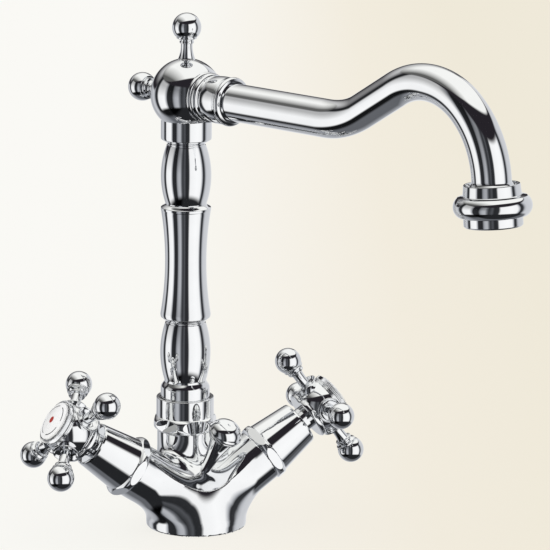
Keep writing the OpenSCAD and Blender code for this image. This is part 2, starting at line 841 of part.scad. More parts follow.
module spout_head() {
    color("silver")
        difference() {
            union() {
                on_column() {
                    translate([0, 0, head_z]) sphere(head_r, $fn = 128);
                    rotate_extrude() {
                        taper_2d(0, bulb_end_r - 0.2, collar_r, groove_2, groove_2 + 1.8);
                        band_2d(0, collar_r, groove_2 + 1.7, head_z - 9);
                    }
                }
            }
            on_column() {
                cylinder(r = water_r, h = head_z);
                cylinder(r = joint_r + fit_gap, h = groove_2 + spigot_len + 0.2);
                translate([0, 0, head_z]) sphere(head_cavity_r, $fn = 96);
                translate([0, 0, head_z]) finial_seat();
            }
            along_spout()
                translate([0, 0, head_z]) {
                    rotate([0, 90, 0]) cylinder(r = port_thread_r + fit_gap, h = head_r + 1);
                    rotate([0, 90, 0])
                        translate([0, 0, collar_start + 0.4 - fit_gap]) cylinder(r = 14.5, h = 8);
                    rotate([0, -90, 0]) finial_seat();
                }
        }
}

// Threaded hole and spot face in the ball of the head
module finial_seat() {
    cylinder(r = 2.5 + fit_gap, h = head_r + 1);
    translate([0, 0, head_r - finial_sunk - fit_gap]) cylinder(r = finial_foot_r + fit_gap, h = 4);
}

module finial(reach_out) {
    stem_len = reach_out - head_r + finial_sunk - 0.36 * finial_ball_d;
    ball_end(finial_ball_d / 2, 5.2, 3, finial_foot_r, stem_len, 2.5, 5);
}

module top_finial() {
    color("silver") on_column() translate([0, 0, head_z + finial_reach]) finial(finial_reach);
}

module rear_finial() {
    color("silver")
        along_spout()
            translate([-rear_reach, 0, head_z])
                rotate([0, -90, 0])
                    finial(rear_reach);
}

// Place on the collar, as a part of its length
function collar_at(part) = collar_start + part * collar_len;

module spout_collar() {
    color("silver")
        along_spout()
            translate([0, 0, head_z])
                rotate([0, 90, 0])
                    difference() {
                        rotate_extrude() {
                            band_2d(0, port_thread_r, collar_start - 2, collar_start + 1);
                            barrel_2d(0, tube_r + 3.4, 0.9, collar_start + 0.4, collar_at(0.13));
                            band_2d(0, tube_r + 2.4, collar_at(0.12), collar_at(0.15));
                            barrel_2d(0, tube_r + 3.1, 0.8, collar_at(0.147), collar_at(0.29));
                            band_2d(0, tube_r + 1.9, collar_at(0.28), collar_at(0.34));
                            barrel_2d(0, tube_r + 2.6, 0.8, collar_at(0.337), collar_at(0.8));
                            band_2d(0, tube_r + 1.5, collar_at(0.79), collar_at(0.855));
                            barrel_2d(0, tube_r + 3, 0.7, collar_at(0.85), collar_end);
                        }
                        cylinder(r = tube_r + fit_gap, h = collar_end + 1);
                    }
}

// ---- spout --------------------------------------------------------------

// Stations along the spout's centre line, as [distance, height, heading, radius]
function bend(centre, r, from, to, r0, r1, steps) = [
    for (i = [1 : steps])
        let (h = mix(from, to, i / steps), side = to > from ? -1 : 1)
        [
            centre[0] - side * r * sin(h),
            centre[1] + side * r * cos(h),
            h,
            mix(r0, r1, ease(i / steps))
        ]
];

slope_r = slope_d / 2;
crown_tube_r = (tube_r + slope_r) / 2;
crown_exit = bend_up_angle - crown_angle;
fall_exit = outlet_lean - 90;
outlet_way = [sin(outlet_lean), -cos(outlet_lean)];
flare_at = p_5 + flare_len * outlet_way;
tube_end = p_5 + (flare_len + tube_seat) * outlet_way;
stations = concat(
    [[collar_start - 1, head_z, 0, tube_r], [tube_straight, head_z, 0, tube_r]],
    bend(c_1, bend_up_r, 0, bend_up_angle, tube_r, slope_r, 7),
    [[p_3[0], p_3[1], bend_up_angle, slope_r]],
    bend(c_2, crown_r, bend_up_angle, crown_exit, slope_r, crown_tube_r, 14),
    bend(c_3, fall_r, crown_exit, fall_exit, crown_tube_r, tube_r, 9),
    [[flare_at[0], flare_at[1], fall_exit, flare_r], [tube_end[0], tube_end[1], fall_exit, flare_r]]
);

function tube_ring(station, thinner) = [
    for (i = [0 : tube_sides - 1])
        let (a = 360 * i / tube_sides, r = station[3] - thinner)
        [
            station[0] - r * cos(a) * sin(station[2]),
            r * sin(a),
            station[1] + r * cos(a) * cos(station[2])
        ]
];

module spout_tube() {
    last = len(stations) - 1;
    rings = concat(
        [for (s = stations) tube_ring(s, 0)],
        [for (i = [last : -1 : 0]) tube_ring(stations[i], tube_r - tube_bore / 2)]
    );
    n = tube_sides;
    m = len(rings);
    color("silver")
        along_spout()
            polyhedron(
                [for (ring = rings) for (p = ring) p],
                [
                    for (j = [0 : m - 1]) for (i = [0 : n - 1])
                        [
                            j * n + i, j * n + (i + 1) % n,
                            (j + 1) % m * n + (i + 1) % n, (j + 1) % m * n + i
                        ]
                ],
                convexity = 8
            );
}

module spout_outlet() {
    rim = -flare_len + 1;
    color("silver")
        at_outlet()
            translate([0, 0, rim])
                difference() {
                    rotate_extrude() {
                        taper_2d(0, cup_foot_d / 2, cup_rim_d / 2, -7, 0);
                        band_2d(0, cup_foot_d / 2 - 0.6, -outlet_h, -6.9);
                        intersection() {
                            band_2d(0, bead_d / 2, -outlet_h, -5);
                            translate([bead_d / 2 - 4.9, -10.4]) circle(4.9);
                        }
                    }
                    translate([0, 0, -rim_recess]) cylinder(r = flare_r + 1.6, h = 5);
                    translate([0, 0, -flare_len - tube_seat - rim])
                        cylinder(r = flare_r + fit_gap, h = 20);
                    translate([0, 0, -outlet_h - 1])
                        cylinder(r = outlet_thread_r + fit_gap, h = outlet_h + 1 - thread_top + washer_t);
                    translate([0, 0, -outlet_h - 1]) cylinder(r = tube_bore / 2, h = outlet_h + 2);
                }
}

module aerator_washer() {
    color("black")
        at_outlet()
            translate([0, 0, -flare_len + 1 - thread_top])
                difference() {
                    cylinder(r = outlet_thread_r - 0.2, h = washer_t);
                    translate([0, 0, -1]) cylinder(r = tube_bore / 2, h = washer_t + 2);
                }
}

module aerator_housing() {
    color("silver")
        at_outlet()
            translate([0, 0, -flare_len + 1])
                difference() {
                    rotate_extrude() {
                        band_2d(0, outlet_thread_r, -outlet_h - 1, -thread_top);
                        band_2d(0, aerator_d / 2, -outlet_h - aerator_ring_h + 0.6, -outlet_h);
                        taper_2d(0, aerator_d / 2 - 0.6, aerator_d / 2,
                            -outlet_h - aerator_ring_h, -outlet_h - aerator_ring_h + 0.6);
                    }
                    translate([0, 0, -outlet_h - aerator_ring_h - 1]) cylinder(r = 8.2, h = 3);
                    translate([0, 0, -outlet_h - aerator_ring_h + 1.2]) cylinder(r = 8.8, h = 30);
                }
}

module aerator_insert() {
    insert_h = outlet_h + aerator_ring_h - thread_top - 1.4;
    color("lightgray")
        at_outlet()
            translate([0, 0, -flare_len + 1 - thread_top - insert_h])
                difference() {
                    cylinder(r = 8.75, h = insert_h);
                    translate([0, 0, 2]) cylinder(r = 7.6, h = insert_h);
                    for (ring = [1 : 3]) for (i = [0 : 6 * ring - 1])
                        rotate([0, 0, 60 * i / ring])
                            translate([2.2 * ring, 0, -1]) cylinder(r = 0.6, h = 4, $fn = 16);
                    translate([0, 0, -1]) cylinder(r = 0.6, h = 4, $fn = 16);
                }
}

// ---- waste knob ---------------------------------------------------------

module popup_bush() {
    color("ivory")
        at_knob()
            difference() {
                translate([0, 0, -bush_len]) cylinder(r = bush_r, h = bush_len - bush_sunk);
                translate([0, 0, -bush_len - 1]) cylinder(r = rod_r + fit_gap, h = bush_len + 4);
            }
}

module popup_knob() {
    foot = 0.3;
    top = foot + knob_cone_len;
    cap_rise = 5.2;
    dome_r = (pow(cap_r - 0.6, 2) + cap_rise * cap_rise) / (2 * cap_rise);
    color("silver")
        at_knob()
            difference() {
                rotate_extrude() {
                    taper_2d(0, knob_tip_d / 2, 6.7, foot, top);
                    barrel_2d(0, cap_r - 0.8, 0.4, top - 0.1, top + 1.4);
                    barrel_2d(0, cap_r, 0.6, top + 1.3, top + 3.4);
                    intersection() {
                        band_2d(0, cap_r, top + 3.3, top + 10);
                        translate([0, top + 3.3 + cap_rise - dome_r]) circle(dome_r, $fn = 200);
                    }
                }
                translate([0, 0, -1]) cylinder(r = rod_r, h = 9);
            }
}

// Ends above the deck, inside the base
module popup_rod() {
    down = (knob_at[2] - 4) / cos(knob_lean);
    color("goldenrod") at_knob() translate([0, 0, -down]) cylinder(r = rod_r, h = down + 8);
}

mixer_body();
base_seal();
swivel_nut();
popup_bush();
color("goldenrod") on_arm(-1) valve_body();  // hot_valve_body
color("white") on_arm(-1) fixed_disc();  // hot_fixed_disc
color("black") on_arm(-1) seat_seal();  // hot_seat_seal
on_arm(-1) sleeve();  // hot_sleeve
color("goldenrod") on_arm(1) valve_body();  // cold_valve_body
color("white") on_arm(1) fixed_disc();  // cold_fixed_disc
color("black") on_arm(1) seat_seal();  // cold_seat_seal
on_arm(1) sleeve();  // cold_sleeve
color("snow") on_arm(-1) moving_disc();  // hot_moving_disc
on_arm(-1) spindle();  // hot_spindle
on_arm(-1) stem_seal();  // hot_stem_seal
on_arm(-1) rotate([0, 0, hot_turn]) hub();  // hot_hub
on_arm(-1) rotate([0, 0, hot_turn]) spokes();  // hot_spokes
on_arm(-1) handle_screw();  // hot_screw
on_arm(-1) bezel();  // hot_bezel
on_arm(-1) index_disc();  // hot_index
color("snow") on_arm(1) moving_disc();  // cold_moving_disc
on_arm(1) spindle();  // cold_spindle
on_arm(1) stem_seal();  // cold_stem_seal
on_arm(1) rotate([0, 0, cold_turn]) hub();  // cold_hub
on_arm(1) rotate([0, 0, cold_turn]) spokes();  // cold_spokes
on_arm(1) handle_screw();  // cold_screw
on_arm(1) bezel();  // cold_bezel
on_arm(1) index_disc();  // cold_index
column_foot();
swivel_bush();
swivel_seals();
column_shaft();
spout_head();
top_finial();
rear_finial();
spout_collar();
spout_tube();
spout_outlet();
aerator_washer();
aerator_housing();
aerator_insert();
popup_knob();
popup_rod();
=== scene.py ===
import json
import math
import bmesh
import bpy
import numpy
from mathutils import Matrix, Vector


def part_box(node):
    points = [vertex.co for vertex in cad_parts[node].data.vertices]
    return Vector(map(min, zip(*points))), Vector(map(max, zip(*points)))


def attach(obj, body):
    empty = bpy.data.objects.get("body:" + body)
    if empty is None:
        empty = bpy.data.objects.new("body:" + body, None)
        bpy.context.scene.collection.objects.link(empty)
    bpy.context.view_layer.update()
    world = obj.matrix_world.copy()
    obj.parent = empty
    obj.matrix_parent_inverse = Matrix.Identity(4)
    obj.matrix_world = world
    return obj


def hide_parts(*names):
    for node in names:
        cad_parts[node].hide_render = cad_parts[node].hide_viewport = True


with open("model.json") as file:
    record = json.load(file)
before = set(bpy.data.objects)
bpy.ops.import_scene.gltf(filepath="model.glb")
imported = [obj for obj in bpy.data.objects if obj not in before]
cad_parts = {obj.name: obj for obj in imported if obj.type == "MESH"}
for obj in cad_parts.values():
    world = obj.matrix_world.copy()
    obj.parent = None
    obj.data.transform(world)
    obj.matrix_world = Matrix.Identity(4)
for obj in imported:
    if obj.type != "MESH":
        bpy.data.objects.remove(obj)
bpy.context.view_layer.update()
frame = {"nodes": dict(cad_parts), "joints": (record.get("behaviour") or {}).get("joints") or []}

MM = 0.001

# ---- Mixer body ----------------------------------------------------------
# One brass casting: a round foot, two valve arms and the neck of the column,
# blended into each other, ground smooth and chrome plated.


def linear(code):
    """sRGB hex to a linear RGBA colour."""
    parts = [int(code[i:i + 2], 16) / 255 for i in (1, 3, 5)]
    return [c / 12.92 if c < 0.04045 else ((c + 0.055) / 1.055) ** 2.4 for c in parts] + [1.0]


def add(tree, kind, values=None, links=None, **settings):
    """Adds a node with its settings, the values of its sockets and their links."""
    new = tree.nodes.new(kind)
    for key, value in settings.items():
        setattr(new, key, value)
    for key, value in (values or {}).items():
        new.inputs[key].default_value = value
    for key, source in (links or {}).items():
        tree.links.new(source, new.inputs[key])
    return new


def blank(name):
    """A new material with nothing in it but its output."""
    material = bpy.data.materials.new(name)
    material.use_nodes = True
    material.node_tree.nodes.clear()
    return material, material.node_tree, add(material.node_tree, "ShaderNodeOutputMaterial")


def set_surface(tree, out, surface):
    """Links a shader to the output."""
    tree.links.new(surface.outputs[0], out.inputs["Surface"])


def polished_chrome(name, gleam, ripple_mm, ripple_height_mm, haze):
    """Chrome plate over polished brass. The plate is a clean mirror; what tells one
    piece from another is the ripple that casting, turning or bending leaves under it."""
    material, tree, out = blank(name)
    coords = add(tree, "ShaderNodeTexCoord")
    ripple = add(tree, "ShaderNodeTexNoise",
                 {"Scale": 1 / (ripple_mm * MM), "Detail": 2.0, "Roughness": 0.45},
                 {"Vector": coords.outputs["Object"]})
    bump = add(tree, "ShaderNodeBump", {"Strength": 0.35, "Distance": ripple_height_mm * MM},
               {"Height": ripple.outputs["Fac"]})
    wiped = add(tree, "ShaderNodeTexNoise",
                {"Scale": 1 / (9 * MM), "Detail": 5.0, "Roughness": 0.62},
                {"Vector": coords.outputs["Object"]})
    rough = add(tree, "ShaderNodeMapRange",
                {"From Min": 0.35, "From Max": 0.75, "To Min": haze, "To Max": haze * 2.2},
                {"Value": wiped.outputs["Fac"]})
    tint = add(tree, "ShaderNodeMapRange",
               {"From Min": 0.3, "From Max": 0.7, "To Min": 0.97, "To Max": 1.0},
               {"Value": wiped.outputs["Fac"]})
    colour = add(tree, "ShaderNodeVectorMath", {0: linear(gleam)[:3]},
                 {1: tint.outputs["Result"]}, operation="MULTIPLY")
    surface = add(tree, "ShaderNodeBsdfPrincipled", {"Metallic": 1.0},
                  {"Base Color": colour.outputs["Vector"], "Roughness": rough.outputs["Result"],
                   "Normal": bump.outputs["Normal"]})
    set_surface(tree, out, surface)
    return material


def arc(a, b, rise, steps=10):
    """Points between a and b on an arc that swells to the right of the way by rise."""
    run = (b[0] - a[0], b[1] - a[1])
    chord = math.hypot(*run)
    radius = (chord * chord / 4 + rise * rise) / (2 * abs(rise))
    half = math.asin(min(1.0, chord / 2 / radius))
    side = 1 if rise > 0 else -1
    right = (run[1] / chord * side, -run[0] / chord * side)
    along = (run[0] / chord, run[1] / chord)
    middle = ((a[0] + b[0]) / 2, (a[1] + b[1]) / 2)
    deep = radius * math.cos(half)
    centre = (middle[0] - right[0] * deep, middle[1] - right[1] * deep)
    points = []
    for i in range(1, steps):
        t = -half + 2 * half * i / steps
        points.append((centre[0] + radius * (right[0] * math.cos(t) + along[0] * math.sin(t)),
                       centre[1] + radius * (right[1] * math.cos(t) + along[1] * math.sin(t))))
    return points


def swell(a, b, rise, steps=16):
    """The same arc with its ends."""
    return [a] + arc(a, b, rise, steps) + [b]


def eased(points, steps=5, closed=False):
    """Rounds each corner that has a third number, its radius."""
    out = []
    count = len(points)
    for i, p in enumerate(points):
        ends = i in (0, count - 1) and not closed
        if len(p) == 2 or ends:
            out.append((p[0], p[1]))
            continue
        before, after = points[i - 1], points[(i + 1) % count]
        u = Vector((before[0] - p[0], before[1] - p[1]))
        w = Vector((after[0] - p[0], after[1] - p[1]))
        corner = u.angle(w)
        if corner > math.pi - 0.02:
            out.append((p[0], p[1]))
            continue
        reach = min(p[2] / math.tan(corner / 2), 0.48 * u.length, 0.48 * w.length)
        start = Vector(p[:2]) + u.normalized() * reach
        end = Vector(p[:2]) + w.normalized() * reach
        for k in range(steps + 1):
            t = k / steps
            q = start * (1 - t) ** 2 + Vector(p[:2]) * 2 * t * (1 - t) + end * t * t
            out.append((q.x, q.y))
    return out


def hexed(radius, angle, apothem):
    """Radius cut back to a hexagon with corners every 60 degrees."""
    off = math.degrees(angle) % 60 - 30
    return min(radius, apothem / math.cos(math.radians(off)))


def lathe(name, outline, place, turns=168, flats=None, knurl=None):
    """Turns an outline of (radius, height) in mm about the local Z axis. flats is
    (apothem, lowest height, highest height) of a spanner ring, and knurl is (depth,
    lowest height, highest height) of upright V teeth, four points to a tooth."""
    bm = bmesh.new()
    rings = []
    for r, z in outline:
        if r < 1e-6:
            rings.append([bm.verts.new((0, 0, z * MM))])
            continue
        ring = []
        for i in range(turns):
            a = 2 * math.pi * i / turns
            rr = r
            if flats and flats[1] <= z <= flats[2]:
                rr = hexed(r, a, flats[0])
            if knurl and knurl[1] <= z <= knurl[2]:
                rr -= knurl[0] * (0, 0.5, 1, 0.5)[i % 4]
            ring.append(bm.verts.new((rr * MM * math.cos(a), rr * MM * math.sin(a), z * MM)))
        rings.append(ring)
    solid_to_axis = len(rings[0]) == 1 and len(rings[-1]) == 1
    pairs = list(zip(rings, rings[1:]))
    if not solid_to_axis:
        pairs.append((rings[-1], rings[0]))
    for low, high in pairs:
        for i in range(turns):
            j = (i + 1) % turns
            corners = [low[i % len(low)], low[j % len(low)],
                       high[j % len(high)], high[i % len(high)]]
            unique = list(dict.fromkeys(corners))
            if len(unique) > 2:
                bm.faces.new(unique)
    return bake(name, bm, place)


def bake(name, bm, place, crease=32):
    """Makes the object from the mesh, outward and smooth, at its place."""
    bmesh.ops.remove_doubles(bm, verts=bm.verts, dist=1e-7)
    bmesh.ops.recalc_face_normals(bm, faces=bm.faces)
    mesh = bpy.data.meshes.new(name)
    bm.to_mesh(mesh)
    bm.free()
    mesh.transform(place)
    mesh.shade_smooth()
    mesh.set_sharp_from_angle(angle=math.radians(crease))
    piece = bpy.data.objects.new(name, mesh)
    bpy.context.scene.collection.objects.link(piece)
    even = piece.modifiers.new("even normals", "WEIGHTED_NORMAL")
    even.keep_sharp = True
    even.weight = 80
    return piece


def dress(piece, body, material, slot, *nodes):
    """Gives a piece its material and says what it rides on and stands for."""
    piece.data.materials.append(material)
    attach(piece, body)
    if nodes:
        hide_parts(*nodes)
    return piece


joints = {j["name"]: j for j in frame["joints"]}
column_x, column_y = joints["spout_swivel"]["pos_m"][:2]
COLUMN = Matrix.Translation((column_x, column_y, 0))


def axis_frame(origin, z, x):
    """A frame at origin whose Z is z and whose X leans towards x."""
    z = Vector(z).normalized()
    y = z.cross(Vector(x)).normalized()
    turned = Matrix((y.cross(z), y, z)).transposed().to_4x4()
    return Matrix.Translation(origin) @ turned


# Each valve arm's frame: origin in the plane of the handle's spokes, Z outward
ARMS = {}
for side, joint in (("hot", "hot_valve_turn"), ("cold", "cold_valve_turn")):
    way = joints[joint]["axis"]
    lean = math.copysign(way[2], way[0])
    ARMS[side] = axis_frame(joints[joint]["pos_m"], way, (lean, 0, -abs(way[0])))

cast_chrome = polished_chrome("cast_body_polished_chrome", "#F4F5F6", 16, 0.10, 0.018)

# sizes in mm, heights from the deck
FOOT_R, FOOT_Z, FOOT_EDGE = 25.5, 0.2, 4  # the foot's rim is upright up to its edge
CORE_TOP, CORE_TAPER = 19.5, 10 / 18  # the cone inside the Y, over the foot's edge
ARM_R, ARM_REACH = 14.5, 43.6
NECK_R, NECK_TOP = 14.4, 47.2
MEET_Z = 8.5  # where the arms' axes cross
ARM_FACE = -41.1  # from the spokes' plane back to the arm's end face
FORK_BLEND, FOOT_BLEND, NECK_BLEND, RIM_BLEND = 4, 16, 11, 2  # how wide each fillet is
STEP = 0.02  # for the slope of the distance


def mixed(a, b, t):
    """The value that is t of the way from a to b."""
    return a + (b - a) * t


def blended(a, b, size):
    """Joins two distances into one, with a fillet of about the given size."""
    h = numpy.clip(0.5 + (b - a) / (2 * size), 0, 1)
    return b + (a - b) * h - size * h * (1 - h)


def body_gap(points):
    """How far points in mm are outside the casting."""
    x, y, z = points.T
    rise = math.asin(joints["cold_valve_turn"]["axis"][2])
    arms, ends = None, -1e9
    for side in (-1, 1):
        d = side * x * math.cos(rise) + (z - MEET_Z) * math.sin(rise)
        off = x * x + y * y + (z - MEET_Z) ** 2 - d * d
        arm = numpy.sqrt(numpy.maximum(off, 0) + numpy.minimum(d, 0) ** 2) - ARM_R
        arms = arm if arms is None else blended(arms, arm, FORK_BLEND)
        ends = numpy.maximum(ends, d - ARM_REACH)
    q = numpy.hypot(x, y)
    up = numpy.maximum(z - FOOT_EDGE, 0)
    core_r = FOOT_R - CORE_TAPER * numpy.minimum(up, 21.6)
    core = 0.92 * numpy.maximum(q - core_r, z - CORE_TOP)
    neck = numpy.hypot(x, y - column_y / MM) - NECK_R
    whole = blended(blended(arms, core, FOOT_BLEND), neck, NECK_BLEND)
    # nothing stands out past a wall that rises from the rim and flares
    flare = q - FOOT_R - 0.45 - 0.1 * up - 0.07 * up * up
    whole = -blended(-whole, -flare, RIM_BLEND)
    return numpy.maximum.reduce([whole, ends, z - NECK_TOP, FOOT_Z - z])


def settle(mesh, rounds):
    """Moves each vertex along the slope of the distance until it lies on the skin, and
    draws the foot's lower edge sharp."""
    points = numpy.empty(len(mesh.vertices) * 3)
    mesh.vertices.foreach_get("co", points)
    points = points.reshape(-1, 3) / MM
    for _ in range(rounds):
        gap = body_gap(points)
        slope = numpy.stack([(body_gap(points + step) - body_gap(points - step)) / (2 * STEP)
                             for step in numpy.eye(3) * STEP], axis=1)
        steep = numpy.maximum((slope * slope).sum(1), 0.2)
        points -= slope * numpy.clip(gap / steep, -1.5, 1.5)[:, None]
    q = numpy.hypot(points[:, 0], points[:, 1])
    corner = (points[:, 2] < FOOT_Z + 0.35) & (q > FOOT_R - 0.5)
    points[corner, :2] *= (FOOT_R / q[corner])[:, None]
    points[corner, 2] = FOOT_Z
    mesh.vertices.foreach_set("co", (points * MM).ravel())
    mesh.update()


def remeshed(piece, size, smoothing):
    """The piece's mesh as one even skin."""
    grain = piece.modifiers.new("one skin", "REMESH")
    grain.mode = "VOXEL"
    grain.voxel_size = size * MM
    soften = piece.modifiers.new("soften", "SMOOTH")
    soften.factor = 0.5
    soften.iterations = smoothing
    bpy.context.view_layer.update()
    depsgraph = bpy.context.evaluated_depsgraph_get()
    mesh = bpy.data.meshes.new_from_object(piece.evaluated_get(depsgraph))
    piece.modifiers.clear()
    piece.data = mesh
    return mesh


# rough casting, one cone a limb: (middle, axis, lower and upper radius, length)
bm = bmesh.new()
limbs = [((0, 0, 2.2), (0, 0, 1), FOOT_R, FOOT_R, 4),
         ((0, 0, 12.2), (0, 0, 1), FOOT_R, 17, 16.4),
         ((0, column_y / MM, 25), (0, 0, 1), NECK_R, NECK_R, 44)]
for joint in ("hot_valve_turn", "cold_valve_turn"):
    way = Vector(joints[joint]["axis"])
    limbs.append((Vector((0, 0, MEET_Z)) + way * ARM_REACH / 2, way, ARM_R, ARM_R, ARM_REACH))
for middle, way, low_r, high_r, length in limbs:
    turned = Vector(way).to_track_quat("Z", "X").to_matrix().to_4x4()
    bmesh.ops.create_cone(bm, cap_ends=True, segments=96, radius1=low_r * MM,
                          radius2=high_r * MM, depth=length * MM,
                          matrix=Matrix.Translation(Vector(middle) * MM) @ turned)
body = bake("mixer_body_skin", bm, Matrix.Identity(4))
body.modifiers.clear()
# a coarse even skin first, then a fine one
settle(remeshed(body, 0.9, 12), 8)
skin = remeshed(body, 0.55, 2)
settle(skin, 6)
skin.shade_smooth()
skin.set_sharp_from_angle(angle=math.radians(50))
dress(body, "base", cast_chrome, "chrome_plate", "mixer_body")

# ---- Base seal and knob bush ---------------------------------------------
# A moulded rubber ring in the groove of the foot's underside, and a moulded nylon bush
# that guides the knob's rod. Both are pressed in.


def moulded(name, code, grain_mm, grain_depth_mm, rough):
    """Moulded rubber or plastic: one even colour that the mould's fine grain dulls, with
    the slight mottling of the compound."""
    material, tree, out = blank(name)
    coords = add(tree, "ShaderNodeTexCoord")
    grain = add(tree, "ShaderNodeTexNoise", {"Scale": 1 / (grain_mm * MM), "Detail": 3.0},
                {"Vector": coords.outputs["Object"]})
    bump = add(tree, "ShaderNodeBump", {"Strength": 0.6, "Distance": grain_depth_mm * MM},
               {"Height": grain.outputs["Fac"]})
    mottle = add(tree, "ShaderNodeMapRange",
                 {"From Min": 0.3, "From Max": 0.7, "To Min": 0.88, "To Max": 1.0},
                 {"Value": grain.outputs["Fac"]})
    colour = add(tree, "ShaderNodeVectorMath", {0: linear(code)[:3]},
                 {1: mottle.outputs["Result"]}, operation="MULTIPLY")
    surface = add(tree, "ShaderNodeBsdfPrincipled", {"Roughness": rough, "IOR": 1.52},
                  {"Base Color": colour.outputs["Vector"], "Normal": bump.outputs["Normal"]})
    set_surface(tree, out, surface)
    return material


def refinish(material, *nodes):
    """Gives solids that stay as they are their material."""
    for node in nodes:
        for slot in frame["nodes"][node].material_slots:
            slot.material = material


seal_rubber = moulded("moulded_epdm_rubber", "#1B1B1C", 0.4, 0.03, 0.55)
bush_nylon = moulded("moulded_nylon", "#E9E6DA", 0.6, 0.02, 0.42)
refinish(seal_rubber, "base_seal")
refinish(bush_nylon, "popup_bush")

# ---- Swivel nut ----------------------------------------------------------
# Turned brass nut that holds the column on the neck. Its lower ring bulges like a
# barrel and has six shallow spanner flats; chrome plated.
turned_chrome = polished_chrome("turned_polished_chrome", "#F5F6F7", 26, 0.03, 0.012)
nut = lathe("swivel_nut_turned", eased(
    [(12.46, 46.8), (14.7, 46.8, 0.3)] + arc((14.75, 47.0), (14.9, 54.3), 2.1, 30)
    + [(14.9, 54.3), (14.95, 55.6), (14.9, 56.8), (14.9, 64.2, 0.6), (13.05, 64.2, 0.3),
       (13.05, 61.3), (10.0, 61.3), (10.0, 59.3), (12.46, 59.3)], closed=True), COLUMN,
    turns=360, flats=(15.3, 46.9, 54.4))
dress(nut, "base", turned_chrome, "chrome_plate", "swivel_nut")

# ---- Column --------------------------------------------------------------
# Three turned brass tubes that screw into each other: a foot with a bulb, a waisted
# middle with a bulb over it, and the ball head. They turn as one in the nut.
foot = lathe("column_foot_turned", eased(
    [(6, 61.8), (12.7, 61.8), (12.7, 68.9), (12.45, 70.1), (11.6, 71.3), (10.85, 72.3),
     (10.8, 73.1)]
    + arc((10.8, 73.1), (10.5, 103.4), 2.35, 40)
    + [(10.5, 103.4, 0.3), (10.0, 103.7), (10.0, 104), (6, 104)], closed=True), COLUMN)
dress(foot, "spout", turned_chrome, "chrome_plate", "column_foot")

shaft = lathe("column_shaft_turned", eased(
    [(8, 104.1), (10.3, 104.1), (10.6, 104.7), (12.8, 106.6, 0.5), (13.0, 108.0)]
    + arc((13.0, 108.0), (12.75, 162.0), -2.25, 50)
    + [(12.75, 162.2), (12.9, 162.8, 0.4), (12.9, 164.0, 0.5), (12.0, 164.6), (10.9, 165.2),
       (10.5, 165.8)]
    + arc((10.5, 165.8), (10.0, 196.3), 2.65, 40)
    + [(10.0, 196.3, 0.3), (9.6, 196.6), (9.6, 197), (8, 197)], closed=True), COLUMN)
dress(shaft, "spout", turned_chrome, "chrome_plate", "column_shaft")

HEAD_Z, HEAD_R, COLLAR_R = 222.3, 18.4, 13.0
lowest = -math.acos(COLLAR_R / HEAD_R)  # the angle at which the ball meets its collar
ball = [(HEAD_R * math.cos(a), HEAD_Z + HEAD_R * math.sin(a))
        for a in (mixed(lowest, math.radians(89.5), k / 90) for k in range(91))]
head = lathe("spout_head_turned", eased(
    [(0, 197.2), (9.8, 197.2), (10.1, 197.6), (12.9, 199.4, 0.5), (COLLAR_R, 200.5)])
    + ball + [(0, HEAD_Z + HEAD_R)], COLUMN, turns=200)
dress(head, "spout", turned_chrome, "chrome_plate", "spout_head")

# nylon bush and rubber rings round the column's tail, inside the nut and the neck
refinish(bush_nylon, "swivel_bush")
refinish(seal_rubber, "swivel_seals")

# frames with their origin in the ball head: SPOUT has X along the tube and Z up, and
# ALONG and BACK have Z along the tube and away from it
outlet_low, outlet_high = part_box("aerator_housing")
outlet_mid = (outlet_low + outlet_high) / 2
aim = Vector((outlet_mid.x - column_x, outlet_mid.y - column_y, 0)).normalized()
head_mid = (column_x, column_y, HEAD_Z * MM)
HEAD = Matrix.Translation(head_mid)
SPOUT = axis_frame(head_mid, (0, 0, 1), aim)
ALONG = axis_frame(head_mid, aim, (0, 0, 1))
BACK = axis_frame(head_mid, -aim, (0, 0, 1))


# ---- Finials -------------------------------------------------------------
# Two turned brass plugs with a ball on a cupped ring, screwed in the top and the back
# of the head; chrome plated.
def ball_stem(ball_r, centre, ring_r, bead_r, stem_r, foot_r, foot_at):
    """Outline of a ball on its cup, bead and stem, from the foot outward."""
    cup = centre - 0.72 * ball_r
    points = [(0, foot_at), (foot_r, foot_at), (foot_r, foot_at + 0.4)]
    points += swell((foot_r - 0.1, foot_at + 0.5), (stem_r, cup - 2.9), -0.45, 12)
    points += [(bead_r - 0.1, cup - 2.7, 0.25), (bead_r, cup - 2.1, 0.3),
               (bead_r - 0.2, cup - 1.6, 0.2), (stem_r + 0.5, cup - 1.4),
               (ring_r - 0.8, cup - 0.5), (ring_r, cup - 0.3, 0.3),
               (ring_r, cup + 0.5, 0.35), (ring_r - 0.5, cup + 0.9)]
    start = math.asin((cup + 1.0 - centre) / ball_r)
    points += [(ball_r * math.cos(a), centre + ball_r * math.sin(a))
               for a in (mixed(start, math.radians(89.5), k / 40) for k in range(41))]
    return eased(points + [(0, centre + ball_r)])


for name, place, centre in (("top_finial", HEAD, 34.2), ("rear_finial", BACK, 32.0)):
    finial = lathe(name + "_turned", ball_stem(7.4, centre, 5.2, 3.7, 3.0, 4.4, 17.7), place,
                   turns=120)
    dress(finial, "spout", turned_chrome, "chrome_plate", name)

